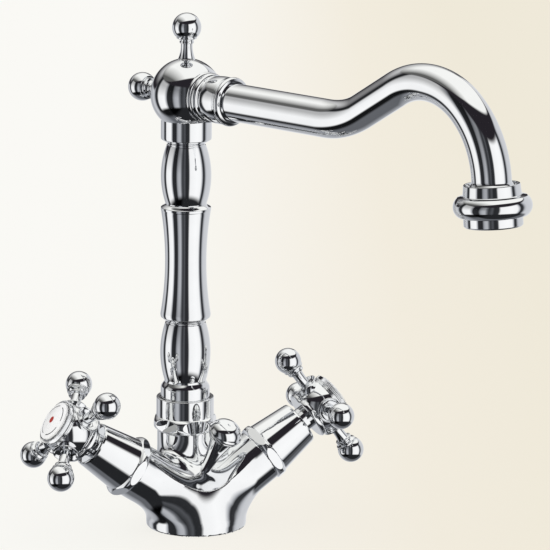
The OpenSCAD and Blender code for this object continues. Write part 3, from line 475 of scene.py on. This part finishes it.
# ---- Spout collar --------------------------------------------------------
# Turned brass collar with two beads, a full barrel and an end bead. It screws into the
# head's flat and holds the tube.
collar = lathe("spout_collar_turned", eased(
    [(9.6, 11.9), (12.1, 11.9)] + swell((12.3, 12.1), (12.2, 14.6), 0.65, 12) + [(11.8, 14.8)]
    + swell((12.0, 15.1), (12.0, 18.2), 0.65, 12) + [(11.5, 18.4), (11.4, 19.2, 0.3)]
    + swell((11.3, 19.5), (11.9, 29.3), 0.5, 20) + [(11.1, 29.6), (11.0, 30.3)]
    + swell((11.6, 30.6), (11.7, 33.5), 0.8, 12) + [(10.6, 33.9, 0.3), (9.6, 33.8)],
    closed=True), ALONG)
dress(collar, "spout", turned_chrome, "chrome_plate", "spout_collar")

# ---- Spout tube ----------------------------------------------------------
# Drawn brass tube of one swan-neck bend, a little narrower on the slope where the
# bending mandrel pulled it; chrome plated. Its flared end sits in the outlet.
tube_chrome = polished_chrome("bent_tube_polished_chrome", "#F5F6F7", 30, 0.05, 0.014)


def bend(points, centre, radius, start, stop, r0, r1, steps):
    """Adds a bend to points of (along, up, heading, tube radius), as the tube's radius
    goes from r0 to r1."""
    side = -1 if stop > start else 1
    for k in range(1, steps + 1):
        t = k / steps
        h = mixed(start, stop, t)
        points.append((centre.x - side * radius * math.sin(h),
                       centre.y + side * radius * math.cos(h), h,
                       mixed(r0, r1, t * t * (3 - 2 * t))))


# the bends' angles, their radii on the tube's axis, the straights, and the tube's own
# radius on each stretch, in mm from the column's axis
BEND_UP, CROWN, LEAN = math.radians(31.7), math.radians(73), math.radians(5)
UP_R, CROWN_R, FALL_R = 45.5, 37.2, 48.4
STRAIGHT_START, STRAIGHT_END, SLOPE_RUN = 12, 96.5, 25.4
STRAIGHT_TUBE_R, SLOPE_TUBE_R, CROWN_TUBE_R, FALL_TUBE_R = 9.6, 8.8, 9.2, 9.5
TUBE_WALL, TUBE_SIDES = 1.5, 96
straight_end = Vector((STRAIGHT_END, 0))
up_mid = straight_end + Vector((0, UP_R))
slope_start = up_mid + UP_R * Vector((math.sin(BEND_UP), -math.cos(BEND_UP)))
slope_end = slope_start + SLOPE_RUN * Vector((math.cos(BEND_UP), math.sin(BEND_UP)))
crown_mid = slope_end + CROWN_R * Vector((math.sin(BEND_UP), -math.cos(BEND_UP)))
leave = BEND_UP - CROWN
fall_mid = crown_mid + (CROWN_R - FALL_R) * Vector((-math.sin(leave), math.cos(leave)))
fall_end = fall_mid + FALL_R * Vector((math.cos(LEAN), math.sin(LEAN)))
down = Vector((math.sin(LEAN), -math.cos(LEAN)))
fall = LEAN - math.pi / 2
route = [(mixed(STRAIGHT_START, STRAIGHT_END, k / 12), 0, 0, STRAIGHT_TUBE_R) for k in range(13)]
bend(route, up_mid, UP_R, 0, BEND_UP, STRAIGHT_TUBE_R, SLOPE_TUBE_R, 24)
route += [(*slope_start.lerp(slope_end, k / 6), BEND_UP, SLOPE_TUBE_R) for k in range(1, 7)]
bend(route, crown_mid, CROWN_R, BEND_UP, leave, SLOPE_TUBE_R, CROWN_TUBE_R, 48)
bend(route, fall_mid, FALL_R, leave, fall, CROWN_TUBE_R, FALL_TUBE_R, 30)
# the flared end: (drop past the last bend, radius)
for drop, r in ((0.4, 9.55), (0.9, 9.68), (1.4, 9.95), (1.9, 10.3), (2.3, 10.6), (2.6, 10.75),
                (4, 10.8), (7, 10.8)):
    q = fall_end + drop * down
    route.append((q.x, q.y, fall, r))
bm = bmesh.new()
rings = []
for thinner, order in ((0, route), (TUBE_WALL, route[::-1])):
    for s, z, h, r in order:
        ring = []
        for i in range(TUBE_SIDES):
            a = 2 * math.pi * i / TUBE_SIDES
            lift, across = (r - thinner) * math.cos(a), (r - thinner) * math.sin(a)
            spot = Vector((s - lift * math.sin(h), across, z + lift * math.cos(h)))
            ring.append(bm.verts.new(spot * MM))
        rings.append(ring)
for k, low in enumerate(rings):
    high = rings[(k + 1) % len(rings)]
    for i in range(TUBE_SIDES):
        j = (i + 1) % TUBE_SIDES
        bm.faces.new((low[i], low[j], high[j], high[i]))
tube = bake("spout_tube_bent", bm, SPOUT)
dress(tube, "spout", tube_chrome, "chrome_plate", "spout_tube")

# ---- Outlet --------------------------------------------------------------
# Turned brass cup with a fat half-round ring, open at its rim round the tube's end, and
# the aerator's screwed ring under it with a perforated plastic insert.
rim_at = fall_end + 1.6 * down
rim = SPOUT @ Vector((rim_at.x * MM, 0, rim_at.y * MM))
outlet_z = SPOUT.to_3x3() @ Vector((-down.x, 0, -down.y))
OUTLET = axis_frame(rim, outlet_z, SPOUT.to_3x3() @ Vector((1, 0, 0)))
outlet = lathe("spout_outlet_turned", eased(
    [(10.95, -15.3), (13.9, -15.3, 0.3), (15.4, -15.2)]
    + swell((16.4, -15.1), (16.4, -5.8), 2.4, 26)
    + [(14.5, -5.5, 0.3), (13.95, -5.2), (13.5, -0.4, 0.4), (13.3, 0, 0.3), (12.6, 0, 0.3),
       (12.4, -0.5), (12.4, -1.8), (10.95, -1.8)], closed=True), OUTLET)
dress(outlet, "spout", turned_chrome, "chrome_plate", "spout_outlet")
aerator_ring = lathe("aerator_housing_turned", eased(
    [(8.8, -15.5), (8.8, -18.9), (8.2, -18.9), (8.2, -20.1, 0.2), (13.6, -20.1, 0.5),
     (14.1, -19.4, 0.3), (14.1, -15.5)], closed=True), OUTLET)
dress(aerator_ring, "spout", turned_chrome, "chrome_plate", "aerator_housing")

aerator_acetal = moulded("moulded_acetal", "#D3D6D8", 0.5, 0.015, 0.35)
refinish(aerator_acetal, "aerator_insert")
refinish(seal_rubber, "aerator_washer")

# ---- Sleeves -------------------------------------------------------------
# Turned brass cones that hide the valves. The ring at the root is a barrel with six
# spanner flats; chrome plated.
for side in ("hot", "cold"):
    f = ARM_FACE
    sleeve = lathe(side + "_sleeve_turned", eased(
        [(10.2, f + 0.1), (14.7, f + 0.1, 0.3)] + arc((15.1, f + 0.3), (15.1, f + 5.1), 1.5, 30)
        + [(15.1, f + 5.1), (14.5, f + 5.5), (14.4, f + 6.0), (11.8, f + 26.2, 0.5),
           (11.5, f + 27.2, 0.5), (10.8, f + 27.5, 0.5), (6.85, f + 27.5, 0.3),
           (6.85, f + 18.0), (10.2, f + 9)], closed=True),
        ARMS[side], turns=360, flats=(15.1, f + 0.2, f + 5.2))
    dress(sleeve, "base", turned_chrome, "chrome_plate", side + "_sleeve")

# ---- Ceramic valves ------------------------------------------------------
# In each arm a bare brass valve body holds two lapped ceramic discs on a rubber seat. A
# brass spindle with its own rubber ring turns the outer disc.


def turned_brass(name, axis, feed_mm):
    """Bare brass from the lathe: a warm metal whose fine tool spiral spreads the light
    along the axis. The spiral is drawn at twice its real pitch so that it shows."""
    material, tree, out = blank(name)
    coords = add(tree, "ShaderNodeTexCoord")
    along = add(tree, "ShaderNodeVectorMath", {1: tuple(axis)}, {0: coords.outputs["Object"]},
                operation="DOT_PRODUCT")
    turns = add(tree, "ShaderNodeMath", {1: 2 * math.pi / (2 * feed_mm * MM)},
                {0: along.outputs["Value"]}, operation="MULTIPLY")
    spiral = add(tree, "ShaderNodeMath", None, {0: turns.outputs[0]}, operation="SINE")
    bump = add(tree, "ShaderNodeBump", {"Strength": 0.3, "Distance": 0.01 * MM},
               {"Height": spiral.outputs[0]})
    tarnish = add(tree, "ShaderNodeTexNoise", {"Scale": 1 / (4 * MM), "Detail": 4.0},
                  {"Vector": coords.outputs["Object"]})
    rough = add(tree, "ShaderNodeMapRange",
                {"From Min": 0.3, "From Max": 0.7, "To Min": 0.22, "To Max": 0.38},
                {"Value": tarnish.outputs["Fac"]})
    colour = add(tree, "ShaderNodeMix", {"A": linear("#D9B877"), "B": linear("#C39C57")},
                 {"Factor": tarnish.outputs["Fac"]}, data_type="RGBA")
    surface = add(tree, "ShaderNodeBsdfPrincipled", {"Metallic": 1.0},
                  {"Base Color": colour.outputs["Result"], "Roughness": rough.outputs["Result"],
                   "Normal": bump.outputs["Normal"]})
    set_surface(tree, out, surface)
    return material


# lapped alumina: dense and white, with a faint speckle of pores in its flat sheen
alumina, tree, out = blank("lapped_alumina")
coords = add(tree, "ShaderNodeTexCoord")
pores = add(tree, "ShaderNodeTexNoise", {"Scale": 1 / (0.3 * MM), "Detail": 2.0},
            {"Vector": coords.outputs["Object"]})
speckle = add(tree, "ShaderNodeMapRange",
              {"From Min": 0.2, "From Max": 0.45, "To Min": 1.0, "To Max": 0.0},
              {"Value": pores.outputs["Fac"]})
colour = add(tree, "ShaderNodeMix", {"A": linear("#F1EEE4"), "B": linear("#D8D3C4")},
             {"Factor": speckle.outputs["Result"]}, data_type="RGBA")
surface = add(tree, "ShaderNodeBsdfPrincipled", {"Roughness": 0.22, "IOR": 1.76},
              {"Base Color": colour.outputs["Result"]})
set_surface(tree, out, surface)

VALVE_BRASS = {}
for side in ("hot", "cold"):
    axis = joints[side + "_valve_turn"]["axis"]
    VALVE_BRASS[side] = turned_brass(side + "_valve_turned_brass", axis, 0.2)
    refinish(VALVE_BRASS[side], side + "_valve_body", side + "_spindle")
    refinish(alumina, side + "_fixed_disc", side + "_moving_disc")
    refinish(seal_rubber, side + "_seat_seal", side + "_stem_seal")

# ---- Cross handles -------------------------------------------------------
# Each handle is a turned hub with four cupped bosses, four screwed ball ends, and a
# knurled bezel that holds the index disc. A brass screw holds the hub on the spindle.
SPOKES_TURN = {"hot": 43.5, "cold": 85.5}  # degrees that each cross is turned at rest
for side in ("hot", "cold"):
    spin = ARMS[side] @ Matrix.Rotation(math.radians(SPOKES_TURN[side]), 4, "Z")
    hub = lathe(side + "_hub_turned", eased(
        [(0, -22.4), (6.5, -22.4), (6.5, -9.4), (12.3, -9.4, 0.4), (13.2, -8.9, 0.4),
         (13.3, -8.2), (13.3, -7.3, 0.4), (12.8, -6.7), (12.5, -6.5), (12.5, -6.1)]
        + swell((12.1, -6.0), (12.1, 5.5), 1.2, 30)
        + [(11.8, 5.7), (11.8, 5.95), (12.1, 6.05, 0.1), (12.1, 6.45, 0.1), (11.8, 6.55),
           (11.8, 6.75), (12.2, 6.85, 0.1), (12.2, 7.3, 0.1), (0, 7.3)]), spin)
    dress(hub, side + "_handle", turned_chrome, "chrome_plate", side + "_hub")
    for quarter in range(4):
        outward = Matrix.Rotation(math.pi / 2, 4, "Y")
        spoke_place = spin @ Matrix.Rotation(math.radians(90 * quarter), 4, "Z") @ outward
        boss = lathe(f"{side}_boss_{quarter}", eased(
            [(0, 6), (4.6, 6), (4.8, 10.4)] + arc((4.8, 10.4), (6.3, 14.0), -0.35, 8)
            + [(6.55, 14.3, 0.2), (6.6, 14.8, 0.25), (6.3, 15.0, 0.2)]
            + arc((6.1, 14.9), (3.3, 12.9), -0.45, 10) + [(3.2, 12.8), (0, 12.8)]),
            spoke_place, turns=96)
        dress(boss, side + "_handle", turned_chrome, "chrome_plate")
        spoke = lathe(f"{side}_spoke_{quarter}",
                      ball_stem(6.8, 30.3, 5.4, 4.4, 3.1, 3.4, 12.7), spoke_place, turns=96)
        dress(spoke, side + "_handle", turned_chrome, "chrome_plate")
        if quarter == 0:
            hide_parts(side + "_spokes")
    bezel = lathe(side + "_bezel_turned", eased(
        [(10.35, 8.4), (10.35, 9.7)] + swell((10.4, 9.8), (12.1, 9.7), 0.6, 14)) + [
            (12.29, 9.6), (12.29, 7.7)] + eased([(12.0, 7.5), (11.9, 7.42), (0, 7.4), (0, 8.4)]),
        ARMS[side], turns=440, knurl=(0.45, 7.65, 9.65))
    dress(bezel, side + "_handle", turned_chrome, "chrome_plate", side + "_bezel")
    refinish(VALVE_BRASS[side], side + "_screw")

# ---- Index discs ---------------------------------------------------------
# Domed porcelain discs pressed in the bezels: a thin fired-on ring in four arcs and a dot,
# red for hot and blue for cold, under a clear glaze.
RING_R = 8.2
# where each mark's edge begins and ends to bleed: from the ring's line, from the middle of
# a gap between arcs, and from the middle of the dot
LINE_EDGE, GAP_EDGE, DOT_EDGE = (0.18 * MM, 0.32 * MM), (1.6 * MM, 1.9 * MM), (1.7 * MM, 1.95 * MM)


def glazed_porcelain(side, dot_code):
    """White porcelain under a clear glaze: a matt white body with a sharp wet gloss, and
    fired-on lines whose edges have bled a little."""
    material, tree, out = blank(side + "_glazed_porcelain")
    coords = add(tree, "ShaderNodeTexCoord")
    origin, turned = ARMS[side].translation, ARMS[side].to_3x3()
    from_middle = add(tree, "ShaderNodeVectorMath", {1: tuple(origin)},
                      {0: coords.outputs["Object"]}, operation="SUBTRACT")
    flat = []
    for way in (turned.col[0], turned.col[1]):
        part = add(tree, "ShaderNodeVectorMath", {1: tuple(way)},
                   {0: from_middle.outputs["Vector"]}, operation="DOT_PRODUCT")
        flat.append(add(tree, "ShaderNodeMath", None, {0: part.outputs["Value"]},
                        operation="ABSOLUTE"))
    face = add(tree, "ShaderNodeCombineXYZ", None,
               {"X": flat[0].outputs[0], "Y": flat[1].outputs[0]})
    radius = add(tree, "ShaderNodeVectorMath", None, {0: face.outputs["Vector"]},
                 operation="LENGTH")
    off_ring = add(tree, "ShaderNodeMath", {1: RING_R * MM}, {0: radius.outputs["Value"]},
                   operation="SUBTRACT")
    off_line = add(tree, "ShaderNodeMath", None, {0: off_ring.outputs[0]}, operation="ABSOLUTE")
    line = add(tree, "ShaderNodeMapRange",
               {"From Min": LINE_EDGE[0], "From Max": LINE_EDGE[1], "To Min": 1.0, "To Max": 0.0},
               {"Value": off_line.outputs[0]})
    nearest = add(tree, "ShaderNodeMath", None, {0: flat[0].outputs[0], 1: flat[1].outputs[0]},
                  operation="MINIMUM")
    broken = add(tree, "ShaderNodeMapRange", {"From Min": GAP_EDGE[0], "From Max": GAP_EDGE[1]},
                 {"Value": nearest.outputs[0]})
    arcs = add(tree, "ShaderNodeMath", None,
               {0: line.outputs["Result"], 1: broken.outputs["Result"]}, operation="MULTIPLY")
    dot = add(tree, "ShaderNodeMapRange",
              {"From Min": DOT_EDGE[0], "From Max": DOT_EDGE[1], "To Min": 1.0, "To Max": 0.0},
              {"Value": radius.outputs["Value"]})
    lined = add(tree, "ShaderNodeMix", {"A": linear("#FEFEFE"), "B": linear("#1E1C22")},
                {"Factor": arcs.outputs[0]}, data_type="RGBA")
    dotted = add(tree, "ShaderNodeMix", {"B": linear(dot_code)},
                 {"Factor": dot.outputs["Result"], "A": lined.outputs["Result"]}, data_type="RGBA")
    peel = add(tree, "ShaderNodeTexNoise", {"Scale": 1 / (2.5 * MM), "Detail": 1.0},
               {"Vector": coords.outputs["Object"]})
    bump = add(tree, "ShaderNodeBump", {"Strength": 0.25, "Distance": 0.02 * MM},
               {"Height": peel.outputs["Fac"]})
    surface = add(tree, "ShaderNodeBsdfPrincipled", {"Roughness": 0.06, "IOR": 1.5},
                  {"Base Color": dotted.outputs["Result"], "Normal": bump.outputs["Normal"]})
    set_surface(tree, out, surface)
    return material


for side, dot_code in (("hot", "#B23A34"), ("cold", "#2F55A0")):
    refinish(glazed_porcelain(side, dot_code), side + "_index")

# ---- Waste knob ----------------------------------------------------------
# Turned brass knob, chrome plated, on a bare brass rod that lifts the drain plug: a long
# cone under a domed cap with two beads.
lift = joints["waste_knob_lift"]["axis"]
KNOB = axis_frame((3 * MM, -5 * MM, 30 * MM), lift, (1, 0, 0))
knob = lathe("popup_knob_turned", eased(
    [(0, -2.6), (2.2, -2.6, 0.2), (2.4, -1.2), (2.75, 0.9)] + arc((2.8, 1.0), (6.7, 23.0), -0.5, 14)
    + [(6.7, 23.0), (7.6, 23.2, 0.2)] + swell((7.9, 23.4), (7.9, 24.6), 0.25, 6) + [(7.8, 24.8)]
    + swell((8.4, 25.0), (8.5, 26.7), 0.45, 10) + [(8.4, 26.9)]
    + arc((8.4, 26.9), (0, 31.5), 2.2, 20) + [(0, 31.5)]), KNOB, turns=120)
dress(knob, "waste_knob", turned_chrome, "chrome_plate", "popup_knob")
refinish(turned_brass("rod_drawn_brass", lift, 0.3), "popup_rod")

# ---- Studio --------------------------------------------------------------
# A pale floor and backdrop, a softbox overhead and standing panels round the object,
# which the plate mirrors as white bands with black between them.
scene = bpy.context.scene
camera = bpy.data.cameras.new("camera")
camera.sensor_width = 36
camera.lens = 221.4
view = bpy.data.objects.new("camera", camera)
right = Vector((0.91810, -0.39629, 0.01010))
upward = Vector((0.07816, 0.20593, 0.97544))
ahead = Vector((0.38864, 0.89477, -0.22002))
view.matrix_world = (Matrix.Translation((-0.6328, -1.5560, 0.51075))
                     @ Matrix((right, upward, -ahead)).transposed().to_4x4())
scene.collection.objects.link(view)
scene.camera = view
scene.view_settings.view_transform = "Standard"

world = bpy.data.worlds.new("studio")
scene.world = world
world.use_nodes = True
tree = world.node_tree
tree.nodes.clear()
out = add(tree, "ShaderNodeOutputWorld")
coords = add(tree, "ShaderNodeTexCoord")
split = add(tree, "ShaderNodeSeparateXYZ", None, {"Vector": coords.outputs["Generated"]})

# standing panels: (azimuth from straight in front of the faucet, towards cold, in degrees;
# brightness)
PANELS = [(-180, 0.50), (-166, 0.42), (-158, 0.60), (-150, 0.62), (-143, 0.42), (-138, 0.035),
          (-128, 0.03), (-122, 0.95), (-97, 1.04), (-90, 0.5), (-86, 0.03), (-68, 0.022),
          (-62, 0.35), (-56, 0.48), (-49, 0.5), (-43, 0.16), (-38, 0.04), (-28, 0.09),
          (-22, 0.025), (-9, 0.03), (-3, 0.98), (30, 1.05), (50, 1.0), (57, 0.5), (62, 0.03),
          (71, 0.04), (80, 0.5), (88, 0.64), (120, 0.68), (160, 0.85), (172, 0.62), (180, 0.50)]
# floor: (how far behind the faucet a ray lands, from -1 in front to 1; brightness)
FLOOR = [(-1.0, 0.02), (-0.12, 0.02), (0.0, 0.14), (0.28, 0.13), (0.48, 0.32), (0.7, 0.46),
         (1.0, 0.6)]
front = add(tree, "ShaderNodeMath", {1: -1.0}, {0: split.outputs["Y"]}, operation="MULTIPLY")
turn = add(tree, "ShaderNodeMath", None, {0: split.outputs["X"], 1: front.outputs[0]},
           operation="ARCTAN2")
azimuth = add(tree, "ShaderNodeMapRange", {"From Min": -math.pi, "From Max": math.pi},
              {"Value": turn.outputs[0]})
depth = add(tree, "ShaderNodeMapRange", {"From Min": -1.0, "From Max": 1.0},
            {"Value": split.outputs["Y"]})
bands = add(tree, "ShaderNodeValToRGB", None, {"Fac": azimuth.outputs["Result"]})
ground = add(tree, "ShaderNodeValToRGB", None, {"Fac": depth.outputs["Result"]})
for ramp, steps, low, span in ((bands, PANELS, -180, 360), (ground, FLOOR, -1, 2)):
    stops = ramp.color_ramp.elements
    for k, (at, level) in enumerate(steps):
        spot = (at - low) / span
        stop = stops[k] if k < 2 else stops.new(spot)
        stop.position = spot
        cool = max(0, 1 - level)  # the darker, the bluer
        stop.color = (level * (1 - 0.05 * cool), level, level * (1 + 0.12 * cool), 1)

# the floor stays dark on the hot side, and the panels end above it
paved = add(tree, "ShaderNodeMapRange", {"From Min": -0.62, "From Max": -0.42, "To Min": 0.06},
            {"Value": split.outputs["X"]}, interpolation_type="SMOOTHSTEP")
floor_light = add(tree, "ShaderNodeVectorMath", None,
                  {0: ground.outputs["Color"], "Scale": paved.outputs[0]}, operation="SCALE")
low_edge = add(tree, "ShaderNodeMapRange", {"From Min": -0.62, "From Max": -0.50},
               {"Value": split.outputs["Z"]}, interpolation_type="SMOOTHSTEP")
walls = add(tree, "ShaderNodeMix", None,
            {"Factor": low_edge.outputs[0], "A": floor_light.outputs["Vector"],
             "B": bands.outputs["Color"]}, data_type="RGBA")
# the left panel fades towards its top
leftmost = add(tree, "ShaderNodeMapRange",
               {"From Min": -0.45, "From Max": -0.70, "To Max": 0.5},
               {"Value": split.outputs["X"]})
fade = add(tree, "ShaderNodeMapRange", {"From Min": -0.08, "From Max": 0.36},
           {"Value": split.outputs["Z"]})
lost = add(tree, "ShaderNodeMath", None, {0: leftmost.outputs[0], 1: fade.outputs[0]},
           operation="MULTIPLY")
kept = add(tree, "ShaderNodeMath", {0: 1.0}, {1: lost.outputs[0]}, operation="SUBTRACT")
faded = add(tree, "ShaderNodeVectorMath", None,
            {0: walls.outputs["Result"], "Scale": kept.outputs[0]}, operation="SCALE")
# the panels end below the softbox, and lower down behind the faucet
behind = add(tree, "ShaderNodeMapRange", {"From Min": 0.60, "From Max": 0.85, "To Max": 0.5},
             {"Value": split.outputs["Y"]}, interpolation_type="SMOOTHSTEP")
height = add(tree, "ShaderNodeMath", None,
             {0: split.outputs["Z"], 1: behind.outputs["Result"]}, operation="ADD")
high_edge = add(tree, "ShaderNodeMapRange",
                {"From Min": 0.46, "From Max": 0.56, "To Min": 1.0, "To Max": 0.0},
                {"Value": height.outputs[0]}, interpolation_type="SMOOTHSTEP")
# the ceiling is dark, and pales behind the faucet towards the softbox
rising = add(tree, "ShaderNodeMapRange", {"From Min": 0.12, "From Max": 0.60, "To Max": 1.3},
             {"Value": split.outputs["Z"]}, interpolation_type="SMOOTHSTEP")
paling = add(tree, "ShaderNodeMath", None,
             {0: rising.outputs[0], 1: behind.outputs["Result"]}, operation="MULTIPLY")
ceiling = add(tree, "ShaderNodeMix", {"A": linear("#28252A"), "B": linear("#FFFFFF")},
              {"Factor": paling.outputs[0]}, data_type="RGBA")
room = add(tree, "ShaderNodeMix", None,
           {"Factor": high_edge.outputs[0], "A": ceiling.outputs["Result"],
            "B": faded.outputs["Vector"]}, data_type="RGBA")
room_light = add(tree, "ShaderNodeBackground", {"Strength": 1.0},
                 {"Color": room.outputs["Result"]})

# softbox overhead: an oval in the plane at unit height, (across, to the back)
BOX_MIDDLE, BOX_ACROSS, BOX_DEEP = 0.52, 1.42, 1.09
rise = add(tree, "ShaderNodeMath", {1: 0.001}, {0: split.outputs["Z"]}, operation="MAXIMUM")
u = add(tree, "ShaderNodeMath", None, {0: split.outputs["X"], 1: rise.outputs[0]},
        operation="DIVIDE")
v = add(tree, "ShaderNodeMath", None, {0: split.outputs["Y"], 1: rise.outputs[0]},
        operation="DIVIDE")
across = add(tree, "ShaderNodeMath", {1: 1 / BOX_ACROSS}, {0: u.outputs[0]}, operation="MULTIPLY")
shifted = add(tree, "ShaderNodeMath", {1: -BOX_MIDDLE}, {0: v.outputs[0]}, operation="ADD")
deep = add(tree, "ShaderNodeMath", {1: 1 / BOX_DEEP}, {0: shifted.outputs[0]},
           operation="MULTIPLY")
off_middle = add(tree, "ShaderNodeCombineXYZ", None,
                 {"X": across.outputs[0], "Y": deep.outputs[0]})
reach = add(tree, "ShaderNodeVectorMath", None, {0: off_middle.outputs[0]}, operation="LENGTH")
oval = add(tree, "ShaderNodeMapRange",
           {"From Min": 0.96, "From Max": 1.06, "To Min": 1.0, "To Max": 0.0},
           {"Value": reach.outputs["Value"]}, interpolation_type="SMOOTHSTEP")
# its cloth is dimmer towards the left and the back
left_dim = add(tree, "ShaderNodeMapRange", {"From Min": -1.0, "From Max": -0.25, "To Min": 0.12},
               {"Value": u.outputs[0]})
back_dim = add(tree, "ShaderNodeMapRange",
               {"From Min": 0.95, "From Max": 1.55, "To Min": 1.0, "To Max": 0.6},
               {"Value": v.outputs[0]})
cloth = add(tree, "ShaderNodeMath", None, {0: left_dim.outputs[0], 1: back_dim.outputs[0]},
            operation="MULTIPLY")
softbox = add(tree, "ShaderNodeBackground", {"Color": linear("#FFFFFC")},
              {"Strength": cloth.outputs[0]})
mirrored = add(tree, "ShaderNodeMixShader", None,
               {0: oval.outputs[0], 1: room_light.outputs[0], 2: softbox.outputs[0]})
# the camera sees the pale backdrop, and matt surfaces get an even white light
backdrop = add(tree, "ShaderNodeBackground", {"Color": linear("#F7F4EC"), "Strength": 1.0})
daylight = add(tree, "ShaderNodeBackground", {"Color": linear("#FFFFFF"), "Strength": 1.0})
ray = add(tree, "ShaderNodeLightPath")
unmirrored = add(tree, "ShaderNodeMixShader", None,
                 {0: ray.outputs["Is Camera Ray"], 1: daylight.outputs[0],
                  2: backdrop.outputs[0]})
seen = add(tree, "ShaderNodeMixShader", None,
           {0: ray.outputs["Is Glossy Ray"], 1: unmirrored.outputs[0], 2: mirrored.outputs[0]})
set_surface(tree, out, seen)

bm = bmesh.new()
bmesh.ops.create_grid(bm, x_segments=1, y_segments=1, size=8)
mesh = bpy.data.meshes.new("floor")
bm.to_mesh(mesh)
bm.free()
floor = bpy.data.objects.new("floor", mesh)
scene.collection.objects.link(floor)
# white paper that glows with painted light: its colour fades from near white on the left to a
# darker, warmer cream on the right, a painted fall-off of the lamp's light across the studio; the
# plate mirrors the world instead
material, tree, out = blank("paper_floor_painted_glow")
coords = add(tree, "ShaderNodeTexCoord")
sideways = add(tree, "ShaderNodeVectorMath", {1: tuple(right)}, {0: coords.outputs["Object"]},
               operation="DOT_PRODUCT")
sweep = add(tree, "ShaderNodeMapRange", {"From Min": -0.139, "From Max": 0.221},
            {"Value": sideways.outputs["Value"]})
# painted lamp fall-off across the floor, near white on the left and darker warm cream on the right;
# the same colour also serves as the paper's own diffuse tone
paper_tone_and_painted_light = add(tree, "ShaderNodeValToRGB", None, {"Fac": sweep.outputs["Result"]})
stops = paper_tone_and_painted_light.color_ramp.elements
stops[0].color, stops[1].color = linear("#FAF9F5"), linear("#EFE9D9")
for spot, code in ((0.27, "#F9F8F3"), (0.5, "#F6F2E9"), (0.73, "#F2ECDE")):
    stops.new(spot).color = linear(code)
# the floor glows with this painted light: 88 percent of it is emission, and only 12 percent is real
# diffuse shading, which keeps the object's shadow
painted_glow = add(tree, "ShaderNodeEmission", {"Strength": 1.0}, {"Color": paper_tone_and_painted_light.outputs["Color"]})
matt = add(tree, "ShaderNodeBsdfDiffuse", None, {"Color": paper_tone_and_painted_light.outputs["Color"]})
clear = add(tree, "ShaderNodeBsdfTransparent")
shaded = add(tree, "ShaderNodeMixShader", {0: 0.12}, {1: painted_glow.outputs[0], 2: matt.outputs[0]})
ray = add(tree, "ShaderNodeLightPath")
both = add(tree, "ShaderNodeMixShader", None,
           {0: ray.outputs["Is Glossy Ray"], 1: shaded.outputs[0], 2: clear.outputs[0]})
set_surface(tree, out, both)
floor.data.materials.append(material)
